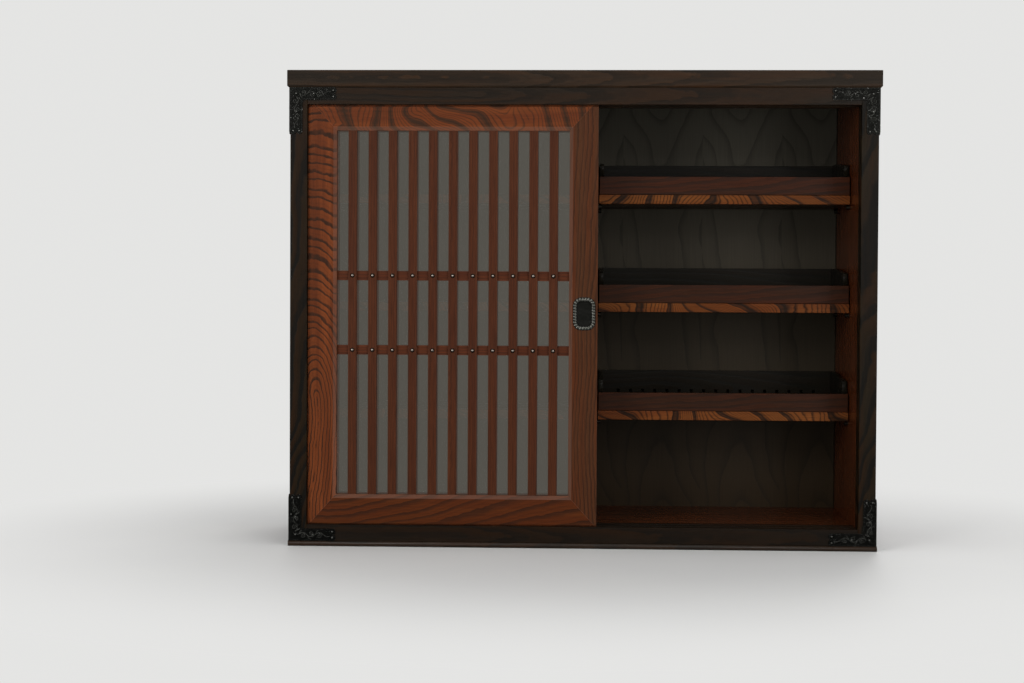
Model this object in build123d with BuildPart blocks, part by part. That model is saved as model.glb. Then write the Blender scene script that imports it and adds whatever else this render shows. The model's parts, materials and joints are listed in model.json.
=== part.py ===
"""Mizuya kitchen cabinet: a framed carcass with two lattice glass sliding doors,
six shelves and three pull-out trays.  Millimetres, +Z up, front towards -Y,
origin in the middle of the footprint on the floor."""
from build123d import *
from math import cos, pi, radians, sin, tan
import os

os.makedirs("parts", exist_ok=True)

LEFT = -1
RIGHT = 1
SIDES = {"left": LEFT, "right": RIGHT}

# ---- Whole cabinet -------------------------------------------------------
WIDTH = 1200                    # over the top board
DEPTH = 430
HEIGHT = 968
TOP_THICK = 35
BASE_THICK = 11
END_OVERHANG = 6                # top board past the frame at each end
FRONT_OVERHANG = 5              # top board past the frame at the front

FRAME_TOP = HEIGHT - TOP_THICK
FRAME_BOTTOM = BASE_THICK
FRONT = -DEPTH / 2 + FRONT_OVERHANG
BACK = DEPTH / 2
OUTER_X = WIDTH / 2 - END_OVERHANG
POST_WIDTH = 35
INNER_X = OUTER_X - POST_WIDTH
FRONT_POST_DEPTH = 45
REAR_POST_DEPTH = 35
POST_ARRIS = 1.2                # softened corners of the posts
HAIRLINE = 0.2                  # open joint between butted strips
TOP_TENON = (15, 22, 12)        # post head into the top board: x, y, height

# ---- Rails and door tracks ----------------------------------------------
HEAD_HEIGHT = 34
SILL_HEIGHT = 33
TRACK_DEPTH = 84                # head and sill rail, front to back
GROOVE_WIDTH = 20
GROOVE_MARGIN = 16              # timber in front of the first groove
TRACK_PITCH = 32                # groove to groove
HEAD_GROOVE = 18                # deep, so that a door lifts out of the sill
SILL_GROOVE = 3
RAIL_TENON = (18, 14, 22)       # length, thickness, height
HEAD_BOTTOM = FRAME_TOP - HEAD_HEIGHT
SILL_TOP = FRAME_BOTTOM + SILL_HEIGHT
TRACK_BACK = FRONT + TRACK_DEPTH
FRONT_TRACK = FRONT + GROOVE_MARGIN + GROOVE_WIDTH / 2
REAR_TRACK = FRONT_TRACK + TRACK_PITCH

# ---- Sides, back, floor and divider -------------------------------------
SIDE_THICK = 20
TONGUE_THICK = 8
TONGUE_DEEP = 8
SIDE_RAIL_HEIGHT = 40
SIDE_RAIL_TENON = (12, 7, 28)
BACK_THICK = 5.5
BACK_FACE = 200                 # inner face of the back panel
BACK_GROOVE = 6
BACK_LAP = 20                   # back rails let into the rear posts
FLOOR_THICK = 18
HOUSING = 6                     # floor board let into the sides
DIVIDER_HOUSING = 5
FLOOR_TONGUE = 6
INNER_FRONT = FRONT + 150       # divider stands back behind the doors
DIVIDER_X = (11, 32)

# ---- Shelves -------------------------------------------------------------
SHELF_TOPS = {"lower": 272.0, "middle": 498.5, "upper": 725.0}
SHELF_THICK = 19
SHELF_END_GAP = 2
SHELF_FRONT = INNER_FRONT + 2
SHELF_BACK = BACK_FACE - 3
SHELF_BAYS = {"left": (-INNER_X, DIVIDER_X[0]), "right": (DIVIDER_X[1], INNER_X)}
PIN_RADIUS = 5
PIN_SPIGOT_RADIUS = 3
PIN_SIDES = 6                   # hexagonal bar, a flat upwards
PIN_SPIGOT = 8
PIN_HEAD = 8
PIN_ROWS = (SHELF_FRONT + 20, SHELF_BACK - 30)

# ---- Doors ---------------------------------------------------------------
DOOR_WIDTH = 590
DOOR_HEIGHT = 870
DOOR_THICK = 28
DOOR_CLEAR = 0.3                # under the tongue in the sill groove
DOOR_BOTTOM = SILL_TOP - SILL_GROOVE + DOOR_CLEAR
DOOR_TOP = DOOR_BOTTOM + DOOR_HEIGHT
DOOR_LEFT = -INNER_X + 0.5      # both doors stand parked at the left
STILE_WIDTH = 58
DOOR_RAIL_WIDTH = 64
DOOR_TONGUE = 18
LOWER_TONGUE = 5
UPPER_TONGUE = 16
BEVEL_SHARE = 0.12              # bevel and rebate as shares of the member's width,
REBATE_SHARE = 0.14             # so that they meet on the mitre
LATTICE_FACE = 6                # bars stand behind the door's front face
BAR_COUNT = 11
BAR_WIDTH = 18
BAR_THICK = 8
BAR_TENON = (10, 5, 8)          # width, thickness, length
CROSS_HEIGHT = 19.5
CROSS_THICK = 5.5
CROSS_RISE = 76                 # cross rails above and below the middle
CROSS_TENON = 8
GLASS_THICK = 3
GLASS_BACK = DOOR_THICK - 5
CORNER_TENON = (14, 16, 34, 9)  # inset, rise, height and thickness
DOOR_NAIL = (4.5, 3.2, 2.2, 12.5)   # head radius, head height, square shank, length

# ---- Finger pulls --------------------------------------------------------
PULL_WIDTH = 46
PULL_HEIGHT = 67
PULL_CORNER = 17
PULL_RIM = 5
PULL_PROUD = 1.6
PULL_DISH = 7
PULL_WALL = 1.2
PULL_FLATS = 4                  # filed flats round each of its corners
PULL_INSET = 27                 # centre of the pull from the door's edge

# ---- Corner fittings -----------------------------------------------------
ARM_WIDTH = 25
ARM_LENGTH = 88
PLATE = 2
PLATE_BORDER = 1.6
PLATE_RELIEF = 0.5
RETURN_WIDTH = 26               # leg that wraps round the side of the post
RETURN_NAIL_SHARES = (0.28, 0.72, 0.93)     # places of its nails along the leg
FITTING_NAIL = (2.6, 1.7, 2, 12)
NAIL_SIDES = 6                  # hammered flats round a nail's head
NAIL_TAPERS = (24, 56)          # slope of its lower and upper half, in degrees
LOBE_SIDES = 12                 # filed flats round the lobes at the arms' ends

# ---- Trays ---------------------------------------------------------------
TRAY_END_GAP = 3
TRAY_CLEAR = 0.3                # over the shelf
TRAY_FRONT_HEIGHT = 38
TRAY_FRONT_THICK = 12
TRAY_SIDE_THICK = 9
TRAY_LAP = 5                    # front board left outside the side boards
TRAY_SHOULDER = 65              # top of the side behind its scooped end
TRAY_BACK_HEIGHT = 76
TRAY_COVE = 20
TRAY_NOSE = 5
TRAY_BACK = SHELF_BACK - 3
TRAY_BACK_SET = 4               # side boards run on past the back board
TRAY_RISE_END = 60              # where the side reaches its full height, from the back
TRAY_FLOOR_THICK = 5
TRAY_FLOOR_RISE = 6
TRAY_GROOVE = 3
VENT_PITCH = 27
VENT_COUNT = 17
VENT = (6, 8)                   # width and height of one vent
VENT_RISE = 30


def block(x, y, z, mode=Mode.ADD):
    """A squared piece between three pairs of faces, or the cut for one."""
    with Locations(((x[0] + x[1]) / 2, (y[0] + y[1]) / 2, (z[0] + z[1]) / 2)):
        return Box(abs(x[1] - x[0]), abs(y[1] - y[0]), abs(z[1] - z[0]), mode=mode)


def span(centre, size):
    """The two faces of something of this size about a centre."""
    return (centre - size / 2, centre + size / 2)


def shelf_pin(wall_x, into_bay, pin_y, shelf_top):
    """A pin in a wall at this x: its head carries the shelf, its spigot fills its hole."""
    origin = (wall_x, pin_y, shelf_top - SHELF_THICK - PIN_RADIUS)
    wall = Plane(origin=origin, x_dir=(0, 1, 0), z_dir=(into_bay, 0, 0))
    with BuildPart() as pin:
        for radius, reach in ((PIN_RADIUS, PIN_HEAD), (PIN_SPIGOT_RADIUS, -PIN_SPIGOT)):
            with BuildSketch(wall):
                RegularPolygon(radius, PIN_SIDES, major_radius=False)
            extrude(amount=reach)
    return pin.part


def nail_shank(nail, mode=Mode.ADD):
    """Square shank of a nail below the XY plane, or the hole it fills."""
    width, length = nail[2], nail[3]
    Box(width, width, length, align=(Align.CENTER, Align.CENTER, Align.MAX), mode=mode)


# ---- Carcass -------------------------------------------------------------
def post_head_tenon(side, y, mode=Mode.ADD):
    """Stub tenon that holds a post's head in the top board."""
    tenon_x, tenon_y, rise = TOP_TENON
    centre_x = side * (OUTER_X - POST_WIDTH / 2)
    block(span(centre_x, tenon_x), span(y, tenon_y), (FRAME_TOP, FRAME_TOP + rise), mode)


def rail_tenon(side, rail_z, mode=Mode.ADD):
    """Tenon of the head or sill rail in a front post."""
    length, thick, height = RAIL_TENON
    x = (side * INNER_X, side * (INNER_X + length))
    y = span(FRONT + FRONT_POST_DEPTH / 2, thick)
    block(x, y, span(rail_z, height), mode)


def side_rail_tenons(side, end_y, into, mode=Mode.ADD):
    """Tenons of both side rails at one of their ends."""
    length, thick, height = SIDE_RAIL_TENON
    rail_x = side * (OUTER_X - (POST_WIDTH - SIDE_THICK) / 2)
    for rail_z in SIDE_RAIL_LEVELS:
        block(span(rail_x, thick), (end_y, end_y + into * length), span(rail_z, height), mode)


FRONT_POST_BACK = FRONT + FRONT_POST_DEPTH
REAR_POST_FRONT = BACK - REAR_POST_DEPTH
POST_CENTRES_Y = (FRONT + FRONT_POST_DEPTH / 2, BACK - REAR_POST_DEPTH / 2)
SIDE_RAIL_LEVELS = (FRAME_BOTTOM + SIDE_RAIL_HEIGHT / 2, FRAME_TOP - SIDE_RAIL_HEIGHT / 2)
BACK_RAIL_LEVELS = (SIDE_RAIL_LEVELS[0], (FRAME_BOTTOM + FRAME_TOP) / 2, SIDE_RAIL_LEVELS[1])
HEAD_MIDDLE = FRAME_TOP - HEAD_HEIGHT / 2
SILL_MIDDLE = FRAME_BOTTOM + SILL_HEIGHT / 2
TONGUE_X = INNER_X + SIDE_THICK / 2


def fitting_nail_places(side, corner_z, inward):
    """Where one corner fitting is nailed: points and outward directions."""
    middle = ARM_WIDTH / 2
    lobe = ARM_WIDTH / 4
    front_points = [
        (middle, middle),
        (middle, ARM_LENGTH * 0.55),
        (ARM_LENGTH * 0.55, middle),
        (middle - lobe, ARM_LENGTH),
        (middle + lobe, ARM_LENGTH),
        (ARM_LENGTH, middle - lobe),
        (ARM_LENGTH, middle + lobe),
    ]
    places = []
    for across, along in front_points:
        point = (side * (OUTER_X - across), FRONT - PLATE, corner_z + inward * along)
        places.append(Plane(origin=point, z_dir=(0, -1, 0)).location)
    for share in RETURN_NAIL_SHARES:
        along = ARM_LENGTH * share
        point = (side * (OUTER_X + PLATE), FRONT + middle, corner_z + inward * along)
        places.append(Plane(origin=point, z_dir=(side, 0, 0)).location)
    return places


FITTING_CORNERS = {
    f"{level}_{name}": (side, corner_z, inward)
    for level, corner_z, inward in (("top", FRAME_TOP, -1), ("bottom", FRAME_BOTTOM, 1))
    for name, side in SIDES.items()
}
FITTING_NAILS = [place for corner in FITTING_CORNERS.values() for place in fitting_nail_places(*corner)]


def fitting_nail_holes():
    """Pilot holes for every fitting nail, cut from the part being built."""
    with Locations(*FITTING_NAILS):
        nail_shank(FITTING_NAIL, Mode.SUBTRACT)


with BuildPart() as top_board:
    block((-WIDTH / 2, WIDTH / 2), (-DEPTH / 2, DEPTH / 2), (FRAME_TOP, HEIGHT))
    underside = top_board.faces().sort_by(Axis.Z)[0]
    rear_edge = underside.edges().sort_by(Axis.Y)[-1]
    chamfer(underside.edges() - [rear_edge], length=3)
    fillet(top_board.faces().sort_by(Axis.Z)[-1].edges(), radius=1.6)
    groove_z = (FRAME_TOP, FRAME_TOP + DIVIDER_HOUSING)
    back_x = INNER_X + BACK_GROOVE
    block((-back_x, back_x), (BACK_FACE, BACK_FACE + BACK_THICK), groove_z, Mode.SUBTRACT)
    block(DIVIDER_X, (INNER_FRONT, BACK_FACE), groove_z, Mode.SUBTRACT)
    for side in SIDES.values():
        for post_y in POST_CENTRES_Y:
            post_head_tenon(side, post_y, Mode.SUBTRACT)
top_board.part.label = "top_board"
export_step(top_board.part, "parts/top_board.step")

for name, side in SIDES.items():
    with BuildPart() as front_post:
        block((side * INNER_X, side * OUTER_X), (FRONT, FRONT_POST_BACK), (FRAME_BOTTOM, FRAME_TOP))
        front_face = front_post.faces().sort_by(Axis.Y)[0]
        chamfer(front_face.edges().filter_by(Axis.Z), length=POST_ARRIS)
        post_head_tenon(side, POST_CENTRES_Y[0])
        rail_tenon(side, HEAD_MIDDLE, Mode.SUBTRACT)
        rail_tenon(side, SILL_MIDDLE, Mode.SUBTRACT)
        side_rail_tenons(side, FRONT_POST_BACK, -1, Mode.SUBTRACT)
        groove_y = (FRONT_POST_BACK - TONGUE_DEEP, FRONT_POST_BACK)
        block(span(side * TONGUE_X, TONGUE_THICK), groove_y, (FRAME_BOTTOM, FRAME_TOP), Mode.SUBTRACT)
        fitting_nail_holes()
    front_post.part.label = f"{name}_front_post"
    export_step(front_post.part, f"parts/{name}_front_post.step")

    with BuildPart() as rear_post:
        block((side * INNER_X, side * OUTER_X), (REAR_POST_FRONT, BACK), (FRAME_BOTTOM, FRAME_TOP))
        rear_face = rear_post.faces().sort_by(Axis.Y)[-1]
        chamfer(rear_face.edges().filter_by(Axis.Z), length=POST_ARRIS)
        post_head_tenon(side, POST_CENTRES_Y[1])
        side_rail_tenons(side, REAR_POST_FRONT, 1, Mode.SUBTRACT)
        groove_y = (REAR_POST_FRONT, REAR_POST_FRONT + TONGUE_DEEP)
        block(span(side * TONGUE_X, TONGUE_THICK), groove_y, (FRAME_BOTTOM, FRAME_TOP), Mode.SUBTRACT)
        panel_x = (side * INNER_X, side * (INNER_X + BACK_GROOVE))
        panel_y = (BACK_FACE, BACK_FACE + BACK_THICK)
        block(panel_x, panel_y, (FRAME_BOTTOM, FRAME_TOP), Mode.SUBTRACT)
        for rail_z in BACK_RAIL_LEVELS:
            lap_x = (side * INNER_X, side * (INNER_X + BACK_LAP))
            block(lap_x, (panel_y[1], BACK), span(rail_z, SIDE_RAIL_HEIGHT), Mode.SUBTRACT)
    rear_post.part.label = f"{name}_rear_post"
    export_step(rear_post.part, f"parts/{name}_rear_post.step")

    with BuildPart() as side_panel:
        panel_x = (side * INNER_X, side * (INNER_X + SIDE_THICK))
        tongue_y = (FRONT_POST_BACK - TONGUE_DEEP, REAR_POST_FRONT + TONGUE_DEEP)
        block(panel_x, (FRONT_POST_BACK, REAR_POST_FRONT), (FRAME_BOTTOM, FRAME_TOP))
        block(span(side * TONGUE_X, TONGUE_THICK), tongue_y, (FRAME_BOTTOM, FRAME_TOP))
        housing_x = (side * INNER_X, side * (INNER_X + HOUSING))
        block(housing_x, (TRACK_BACK, BACK_FACE), (SILL_TOP - FLOOR_THICK, SILL_TOP), Mode.SUBTRACT)
        for shelf_top in SHELF_TOPS.values():
            for pin_y in PIN_ROWS:
                add(shelf_pin(side * INNER_X, -side, pin_y, shelf_top), mode=Mode.SUBTRACT)
    side_panel.part.label = f"{name}_side_panel"
    export_step(side_panel.part, f"parts/{name}_side_panel.step")

    with BuildPart() as side_rails:
        rail_x = (side * (INNER_X + SIDE_THICK), side * OUTER_X)
        for rail_z in SIDE_RAIL_LEVELS:
            block(rail_x, (FRONT_POST_BACK, REAR_POST_FRONT), span(rail_z, SIDE_RAIL_HEIGHT))
        side_rail_tenons(side, FRONT_POST_BACK, -1)
        side_rail_tenons(side, REAR_POST_FRONT, 1)
    side_rails.part.label = f"{name}_side_rails"
    export_step(side_rails.part, f"parts/{name}_side_rails.step")

TRACK_RAILS = {
    "head_rail": (HEAD_BOTTOM, FRAME_TOP, HEAD_MIDDLE, HEAD_BOTTOM, HEAD_BOTTOM + HEAD_GROOVE),
    "sill_rail": (FRAME_BOTTOM, SILL_TOP, SILL_MIDDLE, SILL_TOP - SILL_GROOVE, SILL_TOP),
}
for name, (rail_bottom, rail_top, rail_middle, groove_bottom, groove_top) in TRACK_RAILS.items():
    with BuildPart() as track_rail:
        block((-INNER_X, INNER_X), (FRONT, TRACK_BACK), (rail_bottom, rail_top))
        for track_y in (FRONT_TRACK, REAR_TRACK):
            groove_y = span(track_y, GROOVE_WIDTH)
            block((-INNER_X, INNER_X), groove_y, (groove_bottom, groove_top), Mode.SUBTRACT)
        for side in SIDES.values():
            rail_tenon(side, rail_middle)
        if name == "sill_rail":
            tongue_y = (TRACK_BACK - FLOOR_TONGUE, TRACK_BACK)
            tongue_z = span(SILL_TOP - FLOOR_THICK / 2, FLOOR_TONGUE)
            block((-INNER_X, INNER_X), tongue_y, tongue_z, Mode.SUBTRACT)
        fitting_nail_holes()
    track_rail.part.label = name
    export_step(track_rail.part, f"parts/{name}.step")

with BuildPart() as back_panel:
    back_x = INNER_X + BACK_GROOVE
    panel_z = (FRAME_BOTTOM, FRAME_TOP + DIVIDER_HOUSING)
    block((-back_x, back_x), (BACK_FACE, BACK_FACE + BACK_THICK), panel_z)
back_panel.part.label = "back_panel"
export_step(back_panel.part, "parts/back_panel.step")

with BuildPart() as back_rails:
    lap_x = INNER_X + BACK_LAP
    for rail_z in BACK_RAIL_LEVELS:
        block((-lap_x, lap_x), (BACK_FACE + BACK_THICK, BACK), span(rail_z, SIDE_RAIL_HEIGHT))
back_rails.part.label = "back_rails"
export_step(back_rails.part, "parts/back_rails.step")

with BuildPart() as floor_board:
    floor_x = (-INNER_X - HOUSING, INNER_X + HOUSING)
    block(floor_x, (TRACK_BACK, REAR_POST_FRONT), (SILL_TOP - FLOOR_THICK, SILL_TOP))
    block((-INNER_X, INNER_X), (REAR_POST_FRONT, BACK_FACE), (SILL_TOP - FLOOR_THICK, SILL_TOP))
    tongue_y = (TRACK_BACK - FLOOR_TONGUE, TRACK_BACK)
    block((-INNER_X, INNER_X), tongue_y, span(SILL_TOP - FLOOR_THICK / 2, FLOOR_TONGUE))
    block(DIVIDER_X, (INNER_FRONT, BACK_FACE), (SILL_TOP - DIVIDER_HOUSING, SILL_TOP), Mode.SUBTRACT)
floor_board.part.label = "floor_board"
export_step(floor_board.part, "parts/floor_board.step")

with BuildPart() as divider:
    divider_z = (SILL_TOP - DIVIDER_HOUSING, FRAME_TOP + DIVIDER_HOUSING)
    block(DIVIDER_X, (INNER_FRONT, BACK_FACE), divider_z)
    divider_front = divider.faces().sort_by(Axis.Y)[0]
    chamfer(divider_front.edges().filter_by(Axis.Z), length=1)
    for shelf_top in SHELF_TOPS.values():
        for pin_y in PIN_ROWS:
            for face_x, into_bay in ((DIVIDER_X[0], -1), (DIVIDER_X[1], 1)):
                add(shelf_pin(face_x, into_bay, pin_y, shelf_top), mode=Mode.SUBTRACT)
divider.part.label = "divider"
export_step(divider.part, "parts/divider.step")

# The base frame lies flat under the posts; its nose stands a little proud.
BASE_OVER = 3
BASE_FRONT = FRONT - 4
BASE_X = OUTER_X + BASE_OVER
BASE_FRONT_WIDTH = 66
BASE_SIDE_WIDTH = 60
BASE_NOSE = 5
with BuildPart() as base_frame:
    joint_y = BASE_FRONT + BASE_FRONT_WIDTH
    block((-BASE_X, BASE_X), (BASE_FRONT, joint_y), (0, BASE_THICK))
    fillet(base_frame.edges().filter_by(Axis.X).group_by(Axis.Y)[0], radius=BASE_NOSE)
    runner_y = (joint_y + HAIRLINE, BACK)
    for side in SIDES.values():
        block((side * (BASE_X - BASE_SIDE_WIDTH), side * BASE_X), runner_y, (0, BASE_THICK))
    rear_x = BASE_X - BASE_SIDE_WIDTH - HAIRLINE
    block((-rear_x, rear_x), (BACK - BASE_SIDE_WIDTH, BACK), (0, BASE_THICK))
base_frame.part.label = "base_frame"
export_step(base_frame.part, "parts/base_frame.step")


# ---- Shelves and their pins ----------------------------------------------
for level, shelf_top in SHELF_TOPS.items():
    for name, (bay_left, bay_right) in SHELF_BAYS.items():
        with BuildPart() as shelf:
            shelf_x = (bay_left + SHELF_END_GAP, bay_right - SHELF_END_GAP)
            block(shelf_x, (SHELF_FRONT, SHELF_BACK), (shelf_top - SHELF_THICK, shelf_top))
            shelf_face = shelf.faces().sort_by(Axis.Y)[0]
            chamfer(shelf_face.edges().filter_by(Axis.X), length=0.8)
        shelf.part.label = f"{level}_{name}_shelf"
        export_step(shelf.part, f"parts/{level}_{name}_shelf.step")

with BuildPart() as shelf_pins:
    for shelf_top in SHELF_TOPS.values():
        for bay_left, bay_right in SHELF_BAYS.values():
            for wall_x, into_bay in ((bay_left, 1), (bay_right, -1)):
                for pin_y in PIN_ROWS:
                    add(shelf_pin(wall_x, into_bay, pin_y, shelf_top))
shelf_pins.part.label = "shelf_pins"
export_step(shelf_pins.part, "parts/shelf_pins.step")


# ---- Nails and corner fittings -------------------------------------------
def dome_nail(nail):
    """A dome-headed nail, its head's underside on the XY plane and its shank below."""
    radius, head_height = nail[0], nail[1]
    step = head_height / len(NAIL_TAPERS)
    with BuildPart() as dome:
        for level, taper in enumerate(NAIL_TAPERS):
            with BuildSketch(Plane.XY.offset(level * step)):
                RegularPolygon(radius, NAIL_SIDES)
            extrude(amount=step, taper=taper)
            radius -= step * tan(radians(taper)) / cos(pi / NAIL_SIDES)
        nail_shank(nail)
    return dome.part


def arm_outline(width, length):
    """Outline of a fitting's arm along +Y from its corner, ending in two lobes."""
    lobe = width / 4
    with Locations((width / 2, length / 2)):
        Rectangle(width, length)
    with Locations((lobe, length), (width - lobe, length)):
        RegularPolygon(lobe, LOBE_SIDES, major_radius=False, rotation=180 / LOBE_SIDES)


def front_plate_outline(shrink=0.0):
    """The L-shaped front plate drawn in the corner's own quadrant."""
    with BuildSketch(mode=Mode.PRIVATE) as outline:
        arm_outline(ARM_WIDTH, ARM_LENGTH)
        mirror(about=Plane(origin=(0, 0, 0), z_dir=(1, -1, 0)))
    if shrink:
        return offset(outline.sketch, amount=-shrink, kind=Kind.INTERSECTION, mode=Mode.PRIVATE)
    return outline.sketch


for name, (side, corner_z, inward) in FITTING_CORNERS.items():
    # The quadrant's X runs from the cabinet's outer edge inwards, its Y along the post.
    face_plane = Plane(
        origin=(side * OUTER_X, FRONT, corner_z),
        x_dir=(-side, 0, 0),
        z_dir=(0, side * inward, 0),
    )
    outward = -side * inward
    with BuildPart() as corner_fitting:
        with BuildSketch(face_plane):
            add(front_plate_outline())
        extrude(amount=outward * PLATE)
        with BuildSketch(face_plane.offset(outward * PLATE)):
            add(front_plate_outline())
            add(front_plate_outline(PLATE_BORDER), mode=Mode.SUBTRACT)
        extrude(amount=outward * PLATE_RELIEF)
        # The bend between the two plates runs up to where the front lobe turns inwards.
        bend_length = ARM_LENGTH + ARM_WIDTH / 4 * tan(pi / LOBE_SIDES)
        bend_x = (side * OUTER_X, side * (OUTER_X + PLATE))
        block(bend_x, (FRONT - PLATE, FRONT), (corner_z, corner_z + inward * bend_length))
        # On the side, X runs from the front face backwards and Y along the post again.
        side_plane = Plane(
            origin=(side * OUTER_X, FRONT, corner_z),
            x_dir=(0, 1, 0),
            z_dir=(inward, 0, 0),
        )
        with BuildSketch(side_plane):
            arm_outline(RETURN_WIDTH, ARM_LENGTH)
        extrude(amount=side * inward * PLATE)
        fitting_nail_holes()
    corner_fitting.part.label = f"{name}_corner_fitting"
    export_step(corner_fitting.part, f"parts/{name}_corner_fitting.step")

with BuildPart() as fitting_nails:
    with Locations(*FITTING_NAILS):
        add(dome_nail(FITTING_NAIL))
fitting_nails.part.label = "fitting_nails"
export_step(fitting_nails.part, "parts/fitting_nails.step")


# ---- Doors ---------------------------------------------------------------
def member_profile(width):
    """Section of a door stile or rail: outer edge at x 0, front face at y 0."""
    bevel = width * (1 - BEVEL_SHARE)
    rebate = width * (1 - REBATE_SHARE)
    glass_seat = LATTICE_FACE + BAR_THICK + CROSS_THICK + 0.5
    Polygon(
        (0, 0),
        (bevel, 0),
        (width, LATTICE_FACE),
        (width, glass_seat),
        (rebate, glass_seat),
        (rebate, DOOR_THICK),
        (0, DOOR_THICK),
        align=None,
    )


def door_bars():
    """Middles of the lattice bars, measured from the door's left edge."""
    opening = DOOR_WIDTH - 2 * STILE_WIDTH
    gap = (opening - BAR_COUNT * BAR_WIDTH) / (BAR_COUNT + 1)
    first = STILE_WIDTH + gap + BAR_WIDTH / 2
    return [first + index * (gap + BAR_WIDTH) for index in range(BAR_COUNT)]


MITRE = DOOR_RAIL_WIDTH / STILE_WIDTH
OPENING_BOTTOM = DOOR_BOTTOM + DOOR_RAIL_WIDTH
OPENING_TOP = DOOR_TOP - DOOR_RAIL_WIDTH
DOOR_MIDDLE = (DOOR_BOTTOM + DOOR_TOP) / 2
CROSS_LEVELS = (DOOR_MIDDLE - CROSS_RISE, DOOR_MIDDLE + CROSS_RISE)
CROSS_FACE = LATTICE_FACE + BAR_THICK
GLASS_FACE = GLASS_BACK - GLASS_THICK


def corner_tenons(left, face_y, mode=Mode.ADD, ends=SIDES.values(), levels=(-1, 1)):
    """Tenons hidden in the mitres, on the rails and cut from the stiles."""
    inset, rise, height, thick = CORNER_TENON
    tenon_y = span(face_y + DOOR_THICK / 2, thick)
    for end in ends:
        edge = left if end == LEFT else left + DOOR_WIDTH
        tenon_x = (edge - end * inset, edge - end * STILE_WIDTH)
        for level in levels:
            base = DOOR_BOTTOM + rise if level < 0 else DOOR_TOP - rise - height
            block(tenon_x, tenon_y, (base, base + height), mode)


def track_tongues(left, face_y):
    """Shoulders that leave the tongues running in the head and sill grooves."""
    shoulder = (DOOR_THICK - DOOR_TONGUE) / 2
    across = (left, left + DOOR_WIDTH)
    for y in ((face_y, face_y + shoulder), (face_y + DOOR_THICK - shoulder, face_y + DOOR_THICK)):
        block(across, y, (DOOR_BOTTOM, DOOR_BOTTOM + LOWER_TONGUE), Mode.SUBTRACT)
        block(across, y, (DOOR_TOP - UPPER_TONGUE, DOOR_TOP), Mode.SUBTRACT)


def pull_outline(inset=0.0):
    """Outline of a finger pull, its corners filed round, drawn in by inset."""
    corner = PULL_CORNER - inset
    points = []
    for quarter, (right, up) in enumerate(((1, 1), (-1, 1), (-1, -1), (1, -1))):
        for flat in range(PULL_FLATS + 1):
            angle = (quarter + flat / PULL_FLATS) * pi / 2
            point_x = right * (PULL_WIDTH / 2 - PULL_CORNER) + corner * cos(angle)
            point_z = up * (PULL_HEIGHT / 2 - PULL_CORNER) + corner * sin(angle)
            points.append((point_x, point_z))
    Polygon(*points)


def pull_plane(left, face_y, pull_side):
    """Face of the door at the middle of its finger pull."""
    pull_x = left + PULL_INSET if pull_side == LEFT else left + DOOR_WIDTH - PULL_INSET
    return Plane(origin=(pull_x, face_y, DOOR_MIDDLE), x_dir=(1, 0, 0), z_dir=(0, -1, 0))


def door_nail_places(left, face_y):
    """Every crossing of a bar and a cross rail, on the bars' front."""
    places = []
    for bar in door_bars():
        for level in CROSS_LEVELS:
            point = (left + bar, face_y + LATTICE_FACE, level)
            places.append(Plane(origin=point, z_dir=(0, -1, 0)).location)
    return places


def door_nail_holes(left, face_y):
    """Holes for the lattice nails, cut from the part being built."""
    with Locations(*door_nail_places(left, face_y)):
        nail_shank(DOOR_NAIL, Mode.SUBTRACT)


def build_stile(door, name, end, left, face_y, pull_side):
    """One stile, mitred at both ends, with mortises for the cross rails."""
    edge = left if end == LEFT else left + DOOR_WIDTH
    inner = edge - end * STILE_WIDTH
    with BuildPart() as stile:
        with BuildSketch(Plane(origin=(left, face_y, DOOR_BOTTOM), z_dir=(0, 0, 1))):
            member_profile(STILE_WIDTH)
            if end == RIGHT:
                mirror(about=Plane.YZ.offset(DOOR_WIDTH / 2), mode=Mode.REPLACE)
        extrude(amount=DOOR_HEIGHT)
        with BuildSketch(Plane.XZ.offset(-face_y)):
            Polygon((edge, DOOR_BOTTOM), (inner, DOOR_BOTTOM), (inner, OPENING_BOTTOM), align=None)
            Polygon((edge, DOOR_TOP), (inner, DOOR_TOP), (inner, OPENING_TOP), align=None)
        extrude(amount=-DOOR_THICK, mode=Mode.SUBTRACT)
        corner_tenons(left, face_y, Mode.SUBTRACT, ends=(end,))
        for level in CROSS_LEVELS:
            mortise_y = (face_y + CROSS_FACE, face_y + CROSS_FACE + CROSS_THICK)
            mortise_x = (inner, inner + end * CROSS_TENON)
            block(mortise_x, mortise_y, span(level, CROSS_HEIGHT), Mode.SUBTRACT)
        track_tongues(left, face_y)
        if end == pull_side:
            with BuildSketch(pull_plane(left, face_y, pull_side)):
                pull_outline(PULL_RIM - PULL_WALL)
            extrude(amount=-PULL_DISH - PULL_WALL, mode=Mode.SUBTRACT)
    stile.part.label = f"{door}_{name}_stile"
    export_step(stile.part, f"parts/{door}_{name}_stile.step")


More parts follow.
